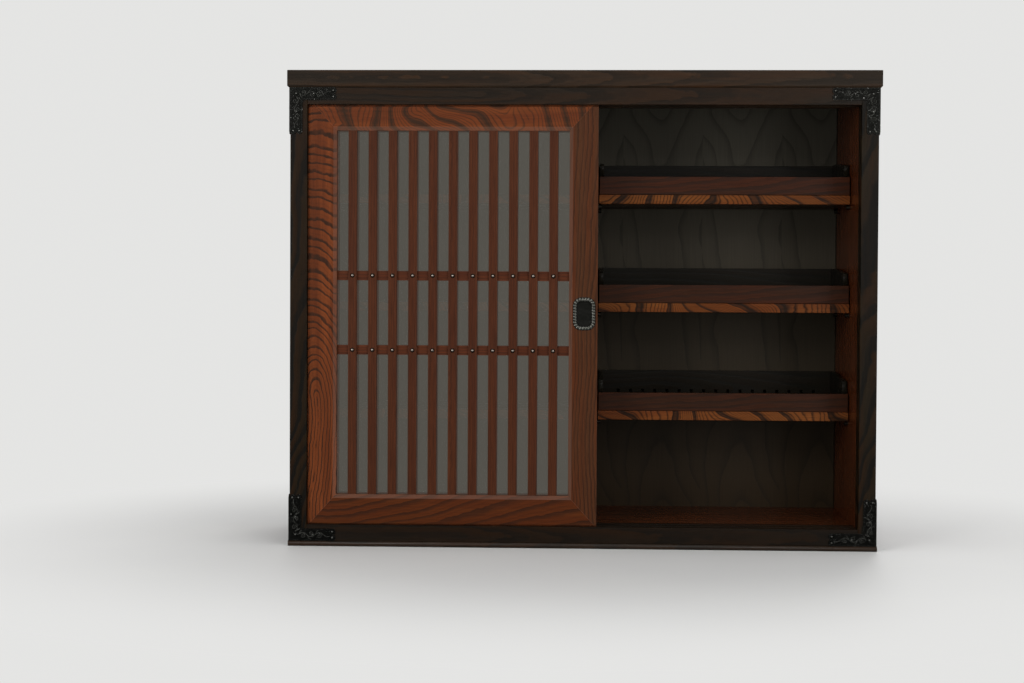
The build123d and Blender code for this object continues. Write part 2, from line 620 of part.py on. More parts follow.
def build_door_rail(door, name, level, left, face_y):
    """Top or bottom rail, mitred, tenoned and mortised for the bars."""
    outer = DOOR_BOTTOM if level < 0 else DOOR_TOP
    inner = OPENING_BOTTOM if level < 0 else OPENING_TOP
    right = left + DOOR_WIDTH
    with BuildPart() as rail:
        # The section's X runs from the rail's outer edge towards the glass.
        section = Plane(origin=(left, face_y, outer), x_dir=(0, 0, -level), z_dir=(1, 0, 0))
        with BuildSketch(section):
            member_profile(DOOR_RAIL_WIDTH)
            if level < 0:
                mirror(about=Plane.XZ, mode=Mode.REPLACE)
        extrude(amount=DOOR_WIDTH)
        with BuildSketch(Plane.XZ.offset(-face_y)):
            Polygon((left, outer), (left, inner), (left + STILE_WIDTH, inner), align=None)
            Polygon((right, outer), (right, inner), (right - STILE_WIDTH, inner), align=None)
        extrude(amount=-DOOR_THICK, mode=Mode.SUBTRACT)
        corner_tenons(left, face_y, levels=(level,))
        tenon_width, tenon_thick, tenon_length = BAR_TENON
        for bar in door_bars():
            mortise_y = span(face_y + LATTICE_FACE + BAR_THICK / 2, tenon_thick)
            mortise_z = (inner, inner + level * tenon_length)
            block(span(left + bar, tenon_width), mortise_y, mortise_z, Mode.SUBTRACT)
        track_tongues(left, face_y)
    rail.part.label = f"{door}_{name}_rail"
    export_step(rail.part, f"parts/{door}_{name}_rail.step")


def build_lattice(door, left, face_y):
    """Upright bars in front, two cross rails behind them, and their nails."""
    tenon_width, tenon_thick, tenon_length = BAR_TENON
    with BuildPart() as bars:
        bar_y = (face_y + LATTICE_FACE, face_y + CROSS_FACE)
        for bar in door_bars():
            block(span(left + bar, BAR_WIDTH), bar_y, (OPENING_BOTTOM, OPENING_TOP))
        front_edges = bars.edges().filter_by(Axis.Z).group_by(Axis.Y)[0]
        chamfer(front_edges, length=0.9)
        for bar in door_bars():
            tenon_z = (OPENING_BOTTOM - tenon_length, OPENING_TOP + tenon_length)
            tenon_y = span((bar_y[0] + bar_y[1]) / 2, tenon_thick)
            block(span(left + bar, tenon_width), tenon_y, tenon_z)
        door_nail_holes(left, face_y)
    bars.part.label = f"{door}_lattice_bars"
    export_step(bars.part, f"parts/{door}_lattice_bars.step")

    with BuildPart() as cross_rails:
        inner_x = (left + STILE_WIDTH - CROSS_TENON, left + DOOR_WIDTH - STILE_WIDTH + CROSS_TENON)
        for level in CROSS_LEVELS:
            rail_y = (face_y + CROSS_FACE, face_y + CROSS_FACE + CROSS_THICK)
            block(inner_x, rail_y, span(level, CROSS_HEIGHT))
        door_nail_holes(left, face_y)
    cross_rails.part.label = f"{door}_cross_rails"
    export_step(cross_rails.part, f"parts/{door}_cross_rails.step")

    with BuildPart() as nails:
        with Locations(*door_nail_places(left, face_y)):
            add(dome_nail(DOOR_NAIL))
    nails.part.label = f"{door}_lattice_nails"
    export_step(nails.part, f"parts/{door}_lattice_nails.step")


def build_glazing(door, left, face_y):
    """The pane and the four beads that hold it in the rebate."""
    stile_bead = STILE_WIDTH * REBATE_SHARE
    rail_bead = DOOR_RAIL_WIDTH * REBATE_SHARE
    seat_x = (left + STILE_WIDTH - stile_bead, left + DOOR_WIDTH - STILE_WIDTH + stile_bead)
    seat_z = (OPENING_BOTTOM - rail_bead, OPENING_TOP + rail_bead)
    edge_gap = 1
    with BuildPart() as glass:
        glass_x = (seat_x[0] + edge_gap, seat_x[1] - edge_gap)
        glass_z = (seat_z[0] + edge_gap, seat_z[1] - edge_gap)
        block(glass_x, (face_y + GLASS_FACE, face_y + GLASS_BACK), glass_z)
    glass.part.label = f"{door}_glass"
    export_step(glass.part, f"parts/{door}_glass.step")

    with BuildPart() as beads:
        bead_y = (face_y + GLASS_BACK, face_y + DOOR_THICK)
        for outer_z, into in ((seat_z[0], 1), (seat_z[1], -1)):
            block(seat_x, bead_y, (outer_z, outer_z + into * rail_bead))
        for outer_x, into in ((seat_x[0], 1), (seat_x[1], -1)):
            upright_z = (seat_z[0] + rail_bead + HAIRLINE, seat_z[1] - rail_bead - HAIRLINE)
            block((outer_x, outer_x + into * stile_bead), bead_y, upright_z)
    beads.part.label = f"{door}_glass_beads"
    export_step(beads.part, f"parts/{door}_glass_beads.step")


def build_pull(door, left, face_y, pull_side):
    """Recessed finger pull: a rounded rim on the stile and a dish let into it."""
    face = pull_plane(left, face_y, pull_side)
    with BuildPart() as pull:
        with BuildSketch(face):
            pull_outline()
        extrude(amount=PULL_PROUD)
        chamfer(pull.faces().sort_by(Axis.Y)[0].edges(), length=PULL_PROUD * 0.6)
        with BuildSketch(face):
            pull_outline(PULL_RIM - PULL_WALL)
        extrude(amount=-PULL_DISH - PULL_WALL)
        with BuildSketch(face.offset(PULL_PROUD)):
            pull_outline(PULL_RIM)
        extrude(amount=-PULL_DISH - PULL_PROUD, taper=12, mode=Mode.SUBTRACT)
    pull.part.label = f"{door}_finger_pull"
    export_step(pull.part, f"parts/{door}_finger_pull.step")


DOORS = {
    "right_door": (FRONT_TRACK - DOOR_THICK / 2, RIGHT),
    "left_door": (REAR_TRACK - DOOR_THICK / 2, LEFT),
}
for door, (face_y, pull_side) in DOORS.items():
    for name, end in SIDES.items():
        build_stile(door, name, end, DOOR_LEFT, face_y, pull_side)
    for name, level in (("bottom", -1), ("top", 1)):
        build_door_rail(door, name, level, DOOR_LEFT, face_y)
    build_lattice(door, DOOR_LEFT, face_y)
    build_glazing(door, DOOR_LEFT, face_y)
    build_pull(door, DOOR_LEFT, face_y, pull_side)


# ---- Trays ---------------------------------------------------------------
TRAY_X = (DIVIDER_X[1] + TRAY_END_GAP, INNER_X - TRAY_END_GAP)
TRAY_BACK_Y = (TRAY_BACK - TRAY_BACK_SET - TRAY_SIDE_THICK, TRAY_BACK - TRAY_BACK_SET)
SIDE_START = SHELF_FRONT + TRAY_LAP
FLOOR_Y = (SHELF_FRONT + TRAY_FRONT_THICK - TRAY_GROOVE, TRAY_BACK_Y[0] + TRAY_GROOVE)
FLOOR_X = (TRAY_X[0] + TRAY_SIDE_THICK - TRAY_GROOVE, TRAY_X[1] - TRAY_SIDE_THICK + TRAY_GROOVE)


def tray_floor_cut(bottom, mode):
    """The thin floor, or the groove that holds it all round."""
    floor_z = (bottom + TRAY_FLOOR_RISE, bottom + TRAY_FLOOR_RISE + TRAY_FLOOR_THICK)
    block(FLOOR_X, FLOOR_Y, floor_z, mode)


def tray_side(bottom, left_x):
    """Side of a tray: scooped down to the front board, then rising to the back."""
    start = (SIDE_START, bottom)
    lip = (SIDE_START, bottom + TRAY_FRONT_HEIGHT)
    cove_end = (SIDE_START + TRAY_COVE, bottom + TRAY_FRONT_HEIGHT + TRAY_COVE)
    nose_start = (cove_end[0], bottom + TRAY_SHOULDER - TRAY_NOSE)
    nose_end = (cove_end[0] + TRAY_NOSE, bottom + TRAY_SHOULDER)
    full_height = (TRAY_BACK - TRAY_RISE_END, bottom + TRAY_BACK_HEIGHT)
    back_top = (TRAY_BACK, bottom + TRAY_BACK_HEIGHT)
    back_foot = (TRAY_BACK, bottom)
    with BuildPart() as side_board:
        with BuildSketch(Plane.YZ.offset(left_x)):
            with BuildLine():
                Line(start, lip)
                RadiusArc(lip, cove_end, -TRAY_COVE)
                Line(cove_end, nose_start)
                RadiusArc(nose_start, nose_end, TRAY_NOSE)
                Spline(nose_end, full_height, tangents=((1, 0), (1, 0)))
                Polyline(full_height, back_top, back_foot, start)
            make_face()
        extrude(amount=TRAY_SIDE_THICK)
    return side_board.part


def build_tray(level, shelf_top):
    """A shallow tray with a low front, high back and scooped sides."""
    bottom = shelf_top + TRAY_CLEAR
    tray = f"{level}_tray"
    with BuildPart() as front:
        front_y = (SHELF_FRONT, SHELF_FRONT + TRAY_FRONT_THICK)
        block(TRAY_X, front_y, (bottom, bottom + TRAY_FRONT_HEIGHT))
        chamfer(front.faces().sort_by(Axis.Y)[0].edges().filter_by(Axis.X), length=0.8)
        for end_x, into in ((TRAY_X[0], 1), (TRAY_X[1], -1)):
            lap_x = (end_x, end_x + into * TRAY_SIDE_THICK)
            block(lap_x, (SIDE_START, front_y[1]), (bottom, bottom + TRAY_FRONT_HEIGHT), Mode.SUBTRACT)
        tray_floor_cut(bottom, Mode.SUBTRACT)
    front.part.label = f"{tray}_front"
    export_step(front.part, f"parts/{tray}_front.step")

    with BuildPart() as sides:
        for left_x in (TRAY_X[0], TRAY_X[1] - TRAY_SIDE_THICK):
            add(tray_side(bottom, left_x))
        tray_floor_cut(bottom, Mode.SUBTRACT)
        block(FLOOR_X, TRAY_BACK_Y, (bottom, bottom + TRAY_BACK_HEIGHT), Mode.SUBTRACT)
    sides.part.label = f"{tray}_sides"
    export_step(sides.part, f"parts/{tray}_sides.step")

    with BuildPart() as back:
        block(FLOOR_X, TRAY_BACK_Y, (bottom, bottom + TRAY_BACK_HEIGHT))
        tray_floor_cut(bottom, Mode.SUBTRACT)
        middle = ((TRAY_X[0] + TRAY_X[1]) / 2, TRAY_BACK_Y[0], bottom + VENT_RISE)
        with Locations(Plane(origin=middle, x_dir=(1, 0, 0), z_dir=(0, -1, 0))):
            with GridLocations(VENT_PITCH, 0, VENT_COUNT, 1):
                Box(*VENT, 2 * TRAY_SIDE_THICK, mode=Mode.SUBTRACT)
    back.part.label = f"{tray}_back"
    export_step(back.part, f"parts/{tray}_back.step")

    with BuildPart() as tray_floor:
        tray_floor_cut(bottom, Mode.ADD)
    tray_floor.part.label = f"{tray}_floor"
    export_step(tray_floor.part, f"parts/{tray}_floor.step")


for level, shelf_top in SHELF_TOPS.items():
    build_tray(level, shelf_top)
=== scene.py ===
"""Looks of the mizuya kitchen cabinet: stained keyaki wood, chased iron, glass, and a pale studio.

Metres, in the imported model's frame: +Z up, front towards -Y."""
import json
from math import cos, pi, radians, sin

import bmesh
import bpy
from mathutils import Matrix, Vector


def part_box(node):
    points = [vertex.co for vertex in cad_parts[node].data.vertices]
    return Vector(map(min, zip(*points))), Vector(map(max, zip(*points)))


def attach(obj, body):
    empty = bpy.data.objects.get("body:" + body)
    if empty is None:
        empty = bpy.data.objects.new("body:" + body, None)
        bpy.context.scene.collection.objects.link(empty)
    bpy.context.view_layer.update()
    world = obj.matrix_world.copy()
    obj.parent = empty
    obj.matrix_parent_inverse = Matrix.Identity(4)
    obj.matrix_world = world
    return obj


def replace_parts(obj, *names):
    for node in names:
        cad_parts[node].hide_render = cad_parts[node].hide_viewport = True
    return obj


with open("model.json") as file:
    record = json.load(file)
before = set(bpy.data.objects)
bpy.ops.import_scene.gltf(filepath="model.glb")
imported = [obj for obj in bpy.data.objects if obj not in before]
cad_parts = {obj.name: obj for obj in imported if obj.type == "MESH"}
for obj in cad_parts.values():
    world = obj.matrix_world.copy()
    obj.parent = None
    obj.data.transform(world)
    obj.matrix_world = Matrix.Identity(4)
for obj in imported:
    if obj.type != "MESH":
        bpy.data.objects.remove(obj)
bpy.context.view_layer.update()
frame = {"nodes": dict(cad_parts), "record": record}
nodes = frame["nodes"]


def rgb(red, green, blue):
    return (red, green, blue, 1)


# ---- Camera and stage --------------------------------------------------------
IMAGE_WIDTH = 1024
FOCAL_PIXELS = 1950
SENSOR = 36
CAMERA_PLACE = (0.0225, -4.157, 0.517)
CAMERA_YAW = radians(2.375)
CAMERA_PITCH = radians(-1.41)
CAMERA_ROLL = radians(0.29)

BACKGROUND = rgb(0.78, 0.78, 0.77)
ROOM_LIGHT = rgb(0.34, 0.345, 0.355)
FLOOR_COLOUR = rgb(0.75, 0.745, 0.73)
FLOOR_MOTTLE = rgb(0.77, 0.765, 0.745)
FLOOR_RADIUS = 14
FADE_START, FADE_END = 0.6, 1.5             # where the floor fades into the background

SOFTBOX_AIM = (0, 0, 0.48)
# Each softbox: its name, place, size and power.
SOFTBOXES = (
    ("window", (-2.35, -4.0, 1.35), (1.6, 2.2), 80),
    ("front", (0.5, -4.2, 2.05), (2.6, 1.0), 36),
    ("fill", (2.0, -4.0, 0.9), (1.0, 1.6), 44),
    ("overhead", (0, -0.6, 3.2), (3.0, 1.4), 22),
    ("behind", (0.8, 3.2, 2.2), (2.0, 2.0), 40),
)

# ---- Sizes of the woodwork ---------------------------------------------------
BAR_PITCH = 0.041               # lattice bars, centre to centre
LIPPING = 0.016                 # figured strip along each shelf's front
LEAF_WIDTH = 0.176              # one leaf of veneer on the back panel
ARRIS = 0.0007                  # softened edge of planed timber
ARRIS_ANGLE = radians(40)       # edges that turn by more than this are softened

# ---- Sizes of the metalwork --------------------------------------------------
PLATE = 0.002                   # sheet of the corner fittings
ARM_WIDTH = 0.025
ARM_LENGTH = 0.088
FITTING_ARRIS = 0.0008
PULL_ARRIS = 0.0004

DOOR_NAIL_RADIUS = 0.0045
DOOR_NAIL_HEIGHT = 0.0032
FITTING_NAIL_RADIUS = 0.0026
FITTING_NAIL_HEIGHT = 0.0017
NAIL_SUNK = 0.0004              # how far a nail's head reaches into its board
DOME_LIP = 0.12                 # height of a dome's rolled edge, as a share of the dome's
DOME_FOOT = 0.96                # share of its radius where it enters the board
PIN_HEAD_RADIUS = 0.005
PIN_SPIGOT_RADIUS = 0.003
PIN_ARRIS = 0.0008

PULL_CORNER = 0.017
ROPE_WIDTH, ROPE_DEPTH = 0.0088, 0.0046
ROPE_INSET = 0.0002             # how far the rope overhangs the pull's edge
ROPE_SUNK = 0.0013              # its centre line behind the pull's face
ROPE_BEADS = 30
ROPE_VALLEY = 0.62              # how deep the rim is cut between two beads
ROPE_WAIST = 0.4                # share of the rim's width that the cuts leave alone
ROPE_TWIST = 0.5
ROPE_STEPS_A_BEAD = 8
ROPE_STEPS_AROUND = 16

SCROLL_WIRE = 0.0008            # radius of the raised lines
SCROLL_PROUD = 0.25             # share of that radius by which their middle stands out
SCROLL_START = 0.019            # from the fitting's corner
SCROLL_END = 0.005              # from the arm's end
SCROLL_SUNK = 0.0005            # the front lines' plane, behind the fitting's front
SCROLL_BEND = 0.017             # half a wave of the stem
SCROLL_SWING = 0.0042           # how far the stem swings to each side
SCROLL_STEPS = 44
TENDRIL_RADIUS = 0.0052
TENDRIL_TURNS = 1.35
TENDRIL_CLOSING = 0.86          # share of its radius that a tendril loses on the way in
TENDRIL_ASIDE = 0.55            # its centre off the arm's middle, as a share of the swing
TENDRIL_STEPS = 16
# A leaf's points, out from the arm's middle line and along it.
LEAF = ((0.0, 0.0), (0.0055, 0.0012), (0.0086, 0.0052))
LEAF_PLACE = 0.05               # share of a bend before each leaf


# ---- Node building -----------------------------------------------------------
FLAT_LIKENESS, EDGE_LIKENESS = 0.995, 0.8   # of a rounded edge's normal to the flat one


class Graph:
    """The node tree of a material or the world, with short calls for the nodes used here."""

    def __init__(self, owner):
        owner.use_nodes = True
        self.owner = owner
        self.tree = owner.node_tree
        self.tree.nodes.clear()

    def add(self, kind, inputs=(), **settings):
        node = self.tree.nodes.new(kind)
        for key, value in settings.items():
            setattr(node, key, value)
        pairs = inputs.items() if isinstance(inputs, dict) else enumerate(inputs)
        for key, value in pairs:
            self.feed(node.inputs[key], value)
        return node

    def feed(self, socket, value):
        if isinstance(value, bpy.types.NodeSocket):
            self.tree.links.new(value, socket)
        else:
            socket.default_value = value

    def math(self, operation, *values):
        return self.add("ShaderNodeMath", values, operation=operation).outputs[0]

    def vector(self, x, y, z):
        return self.add("ShaderNodeCombineXYZ", (x, y, z)).outputs[0]

    def split(self, vector):
        return self.add("ShaderNodeSeparateXYZ", (vector,)).outputs

    def length(self, vector):
        return self.add("ShaderNodeVectorMath", (vector,), operation="LENGTH").outputs["Value"]

    def noise(self, point, scale, detail=2.0, roughness=0.5, distortion=0.0):
        inputs = {
            "Vector": point, "Scale": scale, "Detail": detail,
            "Roughness": roughness, "Distortion": distortion,
        }
        return self.add("ShaderNodeTexNoise", inputs)

    def ramp(self, value, stops):
        node = self.add("ShaderNodeValToRGB", (value,))
        elements = node.color_ramp.elements
        while len(elements) < len(stops):
            elements.new(0.5)
        for element, (place, shade) in zip(elements, stops):
            element.position = place
            element.color = shade if isinstance(shade, tuple) else rgb(shade, shade, shade)
        return node.outputs[0]

    def spread(self, value, low, high, to_low=0.0, to_high=1.0):
        """Maps low..high to to_low..to_high and clamps."""
        return self.add("ShaderNodeMapRange", (value, low, high, to_low, to_high)).outputs[0]

    def mix(self, share, first, second, mode="MIX"):
        node = self.add("ShaderNodeMix", data_type="RGBA", blend_type=mode)
        self.feed(node.inputs[0], share)
        self.feed(node.inputs[6], first)
        self.feed(node.inputs[7], second)
        return node.outputs[2]

    def shaded(self, colour, shade):
        """The colour made lighter or darker by a number."""
        return self.mix(1.0, colour, self.vector(shade, shade, shade), "MULTIPLY")

    def position(self):
        return self.add("ShaderNodeTexCoord").outputs["Object"]

    def facing(self):
        """How squarely the surface faces along X, Y and Z, either way along each."""
        normal = self.add("ShaderNodeTexCoord").outputs["Normal"]
        return self.split(self.add("ShaderNodeVectorMath", (normal,), operation="ABSOLUTE").outputs[0])

    def edge_wear(self, radius):
        """1 on arrises of this radius and 0 on flats."""
        rounded = self.add("ShaderNodeBevel", {"Radius": radius}, samples=3).outputs[0]
        flat = self.add("ShaderNodeNewGeometry").outputs["Normal"]
        likeness = self.add("ShaderNodeVectorMath", (rounded, flat), operation="DOT_PRODUCT")
        return self.spread(likeness.outputs["Value"], FLAT_LIKENESS, EDGE_LIKENESS)

    def bump(self, height, strength, distance):
        inputs = {"Height": height, "Strength": strength, "Distance": distance}
        return self.add("ShaderNodeBump", inputs).outputs[0]

    def finish(self, shader, output="ShaderNodeOutputMaterial"):
        self.add(output, {"Surface": shader})
        return self.owner

    def principled(self, **values):
        inputs = {key.replace("_", " "): value for key, value in values.items()}
        return self.finish(self.add("ShaderNodeBsdfPrincipled", inputs).outputs[0])


def material_graph(name):
    return Graph(bpy.data.materials.new(name))


# ---- Wood --------------------------------------------------------------------
# light and dark are the wood between and in the grain lines, tint runs through it in streaks.
# ring is the spacing of the growth rings, and line the share of a ring that is dark pores.
# The pith dives behind the face by dive over a length of run, which draws the crowned
# figure; sway and swirl bend it across and along the board, in waves that drift makes
# shorter. fine counts the lesser lines in a ring, and depth_of_line and fine_depth say how
# dark each kind of line gets. lean slants the lines across the board, soft is the share of a
# ring over which a line sets in, fibre the fibres' contrast, and rough the varnish's roughness.
WOODS = {
    "banded": dict(
        light=rgb(0.148, 0.0365, 0.0096), dark=rgb(0.025, 0.0104, 0.0052),
        tint=rgb(0.090, 0.0212, 0.0059),
        ring=0.0068, line=0.36, dive=1.15, run=3.0, sway=0.055, swirl=0.100, drift=5.0,
        fine=2, depth_of_line=0.95, fine_depth=0.25, fibre=0.20, rough=0.30,
    ),
    "broad": dict(
        light=rgb(0.132, 0.0335, 0.0088), dark=rgb(0.026, 0.0128, 0.0064),
        tint=rgb(0.098, 0.0225, 0.0066),
        ring=0.042, line=0.40, dive=2.7, run=3.0, sway=0.07, swirl=0.24, drift=5.0,
        fine=6, depth_of_line=0.94, fine_depth=0.80, fibre=0.18, rough=0.30, lean=0.85, soft=0.12,
    ),
    "quiet": dict(
        light=rgb(0.059, 0.0215, 0.0084), dark=rgb(0.024, 0.0092, 0.0043),
        tint=rgb(0.071, 0.0188, 0.0057),
        ring=0.0075, line=0.42, dive=0.05, run=0.35, sway=0.05, swirl=0.10, drift=3.0,
        fine=2, depth_of_line=0.66, fine_depth=0.2, fibre=0.28, rough=0.32,
    ),
    "flamed": dict(
        light=rgb(0.086, 0.0235, 0.0052), dark=rgb(0.022, 0.0080, 0.0034),
        tint=rgb(0.068, 0.0160, 0.0040),
        ring=0.0135, line=0.38, dive=0.20, run=0.50, sway=0.05, swirl=0.14, drift=3.4,
        fine=3, depth_of_line=0.75, fine_depth=0.3, fibre=0.22, rough=0.32,
    ),
    "lattice": dict(
        light=rgb(0.066, 0.0190, 0.0070), dark=rgb(0.034, 0.0105, 0.0046),
        tint=rgb(0.052, 0.0145, 0.0058),
        ring=0.005, line=0.4, dive=0.02, run=0.5, sway=0.01, swirl=0.05, drift=3.0,
        fine=2, depth_of_line=0.6, fine_depth=0.2, fibre=0.32, rough=0.36,
    ),
    "cross": dict(
        light=rgb(0.084, 0.0225, 0.0082), dark=rgb(0.038, 0.0120, 0.0054),
        tint=rgb(0.064, 0.0165, 0.0066),
        ring=0.006, line=0.4, dive=0.02, run=0.5, sway=0.01, swirl=0.05, drift=3.0,
        fine=2, depth_of_line=0.6, fine_depth=0.2, fibre=0.32, rough=0.34,
    ),
    "case": dict(
        light=rgb(0.0215, 0.0140, 0.0086), dark=rgb(0.0100, 0.0072, 0.0046),
        tint=rgb(0.0290, 0.0140, 0.0064),
        ring=0.0095, line=0.46, dive=0.045, run=0.40, sway=0.04, swirl=0.12, drift=2.2,
        fine=2, depth_of_line=0.70, fine_depth=0.25, fibre=0.30, rough=0.26,
    ),
    "post": dict(
        light=rgb(0.0116, 0.0072, 0.0030), dark=rgb(0.0024, 0.0020, 0.0012),
        tint=rgb(0.0150, 0.0066, 0.0022),
        ring=0.012, line=0.50, dive=0.15, run=0.50, sway=0.10, swirl=0.20, drift=4.6,
        fine=2, depth_of_line=0.95, fine_depth=0.3, fibre=0.30, rough=0.26, soft=0.12,
    ),
    "panel": dict(
        light=rgb(0.0825, 0.0200, 0.0052), dark=rgb(0.0340, 0.0112, 0.0039),
        tint=rgb(0.0620, 0.0142, 0.0039),
        ring=0.011, line=0.4, dive=0.05, run=0.35, sway=0.05, swirl=0.12, drift=2.6,
        fine=2, depth_of_line=0.7, fine_depth=0.2, fibre=0.25, rough=0.16,
    ),
    "shelf": dict(
        light=rgb(0.0330, 0.0125, 0.0052), dark=rgb(0.0120, 0.0056, 0.0030),
        tint=rgb(0.0260, 0.0088, 0.0038),
        ring=0.011, line=0.4, dive=0.05, run=0.35, sway=0.05, swirl=0.12, drift=2.6,
        fine=2, depth_of_line=0.7, fine_depth=0.2, fibre=0.25, rough=0.22,
    ),
    "lipping": dict(
        light=rgb(0.140, 0.0440, 0.0105), dark=rgb(0.0095, 0.0050, 0.0028),
        tint=rgb(0.108, 0.0290, 0.0074),
        ring=0.038, line=0.26, dive=2.0, run=3.0, sway=0.05, swirl=0.22, drift=5.2,
        fine=8, depth_of_line=0.97, fine_depth=0.95, fibre=0.22, rough=0.26, lean=2.4,
    ),
    "tray": dict(
        light=rgb(0.0285, 0.0105, 0.0050), dark=rgb(0.0125, 0.0062, 0.0036),
        tint=rgb(0.0390, 0.0110, 0.0044),
        ring=0.011, line=0.45, dive=0.08, run=0.40, sway=0.05, swirl=0.16, drift=3.4,
        fine=3, depth_of_line=0.6, fine_depth=0.35, fibre=0.26, rough=0.28,
    ),
    "tray_inner": dict(
        light=rgb(0.0084, 0.0074, 0.0048), dark=rgb(0.0048, 0.0044, 0.0030),
        tint=rgb(0.0090, 0.0066, 0.0042),
        ring=0.012, line=0.4, dive=0.05, run=0.40, sway=0.04, swirl=0.12, drift=2.6,
        fine=2, depth_of_line=0.6, fine_depth=0.2, fibre=0.22, rough=0.24,
    ),
}
USUAL_SOFT = 0.05
# How light some boards of the case are coloured, as multiples: the top board lightest, the sill rail
# darkest.
TONES = {"top_board": 1.00, "head_rail": 0.68, "sill_rail": 0.46, "base_frame": 0.75}

# Where the pith starts on each kind: share across the face, depth behind it, share along.
PITHS = {
    "banded": (0.42, 0.002, 0.34),
    "broad": (-1.2, 0.01, -0.7),
    "quiet": (1.4, 0.02, 0.3),
    "flamed": (1.7, 0.012, 0.0),
    "lipping": (0.5, 0.01, -0.35),
    "tray": (1.9, 0.02, 0.0),
    "post": (1.4, 0.012, -0.1),
}
USUAL_PITH = (0.5, 0.022, 0.3)
STRAY_STEP = 0.618              # spreads the boards' strays evenly
STRAY_ACROSS, STRAY_ALONG = 0.3, 0.1        # how far the pith strays, as shares of the board
DEPTH_SHARE = 0.4               # how far a bevel's depth shifts the figure on it
BOARD_STEP = (1.37, 2.11, 0.73)  # from one board to the next, through the noise that bends them
STICK_STEP = 3.0                # the most that two sticks of one piece lie apart along the grain
RIPPLE_SCALE, RIPPLE = 48.0, 0.0048         # small waver of the rings
UNEVEN_SCALE, UNEVEN = 0.45, 1.6            # how their spacing varies, in rings
LEANING = (0.42, 0.56)          # the noise over which the lines begin to lean
# The axes (across, depth, along) for a grain along each axis.
GRAIN_ORDER = {"x": "ZYX", "y": "XZY", "z": "XYZ"}

# Noise scales across and along the grain.
FIBRES, STREAKS, BROAD_STREAKS = (900.0, 22.0), (170.0, 5.0), (42.0, 2.6)
VENEER_FIBRES = (700.0, 9.0)
LIPPING_SEED = 40               # sets a lipping's figure apart from its shelf's
FINE_LINE = [(0.0, 0.0), (0.15, 1.0), (0.45, 0.0), (1.0, 0.0)]
DARKEST = 0.96                  # the most that lines hide of the wood

WOOD_SHEEN = 0.05
BASE_SHEEN = 0.14
ARRIS_WEAR, SHELF_WEAR = 0.35, 0.1          # how bare the arrises are rubbed
WORN_RADIUS = 0.0016
BARE_WOOD = rgb(2.6, 2.4, 2.3)  # rubbed wood, as a multiple of the stained colour
PORE_ROUGHNESS = 0.10
GRAIN_RELIEF = 0.0004
# Painted highlight: the colour that the doors' chamfers are lightened towards, in place of the sheen of
# their varnish.
CHAMFER_HIGHLIGHT_TONE = rgb(0.34, 0.20, 0.15)
CHAMFER_HIGHLIGHT_SHARE = 0.15             # share of painted highlight laid on the doors' chamfers
CHAMFER_TURN = (0.95, 0.80)     # squareness of a board's own faces, and of a chamfer

# The back's veneer: on each leaf the pith dives away from the panel's head and foot, which
# draws crowned lines. The tones grow lighter up the panel's inside: painted light.
VENEER_DRIFT = 5.2
VENEER_SWAY, VENEER_SWIRL = 0.13, 0.10
VENEER_DIVE = 0.075
VENEER_HEAD_RATE, VENEER_FOOT_RATE = 11.0, 8.0
VENEER_LINES = 34.0             # per metre out from the pith
VENEER_RIPPLE_SCALE, VENEER_RIPPLE = 40.0, 0.10
VENEER_PROFILE = [(0.0, 0.0), (0.045, 1.0), (0.11, 0.7), (0.30, 0.12), (0.6, 0.0), (1.0, 0.0)]
VENEER_TONES_WITH_PAINTED_LIGHT = [
    (0.0, rgb(0.0200, 0.0120, 0.0056)),
    (0.5, rgb(0.0310, 0.0245, 0.0160)),
    (1.0, rgb(0.0560, 0.0510, 0.0390)),
]
VENEER_LINE = rgb(0.0060, 0.0052, 0.0038)
VENEER_LINE_DEPTH = 0.42


def grain_space(graph, along):
    """The surface's place as (across, depth, along) the grain."""
    parts = graph.split(graph.position())
    return [parts[axis] for axis in GRAIN_ORDER[along]]


def pith_dive(graph, beyond, wood):
    """How deep the pith lies behind the face, this far beyond its start."""
    reach = graph.math("MAXIMUM", beyond, 0.0)
    fade = graph.math("EXPONENT", graph.math("MULTIPLY", reach, -1 / wood["run"]))
    return graph.math("MULTIPLY_ADD", fade, -wood["dive"], wood["dive"])


def growth_rings(graph, space, wood, pith, seed):
    """How many rings out from the pith each point of a board lies."""
    across, depth, length = space
    pith_across, pith_depth, pith_start = pith
    shift = tuple(seed * step for step in BOARD_STEP)
    place = graph.add("ShaderNodeVectorMath", (graph.vector(*space), shift), operation="ADD").outputs[0]
    bend = graph.split(graph.noise(place, wood["drift"], 1.5, 0.4).outputs["Color"])
    lean = graph.math("MULTIPLY", graph.spread(bend["Z"], *LEANING), wood.get("lean", 0.0))
    swirled = graph.math("MULTIPLY_ADD", bend["Y"], wood["swirl"], length)
    swirled = graph.math("MULTIPLY_ADD", graph.math("SUBTRACT", across, pith_across), lean, swirled)
    beyond = graph.math("SUBTRACT", swirled, pith_start + wood["swirl"] / 2)
    aside = graph.math("MULTIPLY_ADD", bend["X"], wood["sway"], across)
    below = graph.math("MULTIPLY", graph.math("SUBTRACT", depth, pith_depth), DEPTH_SHARE)
    radius = graph.length(graph.vector(
        graph.math("SUBTRACT", aside, pith_across + wood["sway"] / 2),
        graph.math("SUBTRACT", below, pith_dive(graph, beyond, wood)),
        0.0,
    ))
    spacing = graph.noise(graph.vector(radius, seed, 0.0), UNEVEN_SCALE / wood["ring"], 1.0)
    uneven = graph.math("MULTIPLY", spacing.outputs["Fac"], UNEVEN)
    rings = graph.math("MULTIPLY_ADD", radius, 1 / wood["ring"], uneven)
    ripple = graph.noise(place, RIPPLE_SCALE, 2.0, 0.5).outputs["Fac"]
    return graph.math("MULTIPLY_ADD", ripple, RIPPLE / wood["ring"], rings)


def fibre_noise(graph, space, scales):
    across, depth, length = space
    fine, long = scales
    point = graph.vector(
        graph.math("MULTIPLY", across, fine),
        graph.math("MULTIPLY", depth, fine),
        graph.math("MULTIPLY", length, long),
    )
    return graph.noise(point, 1.0, 2.0, 0.6).outputs["Fac"]


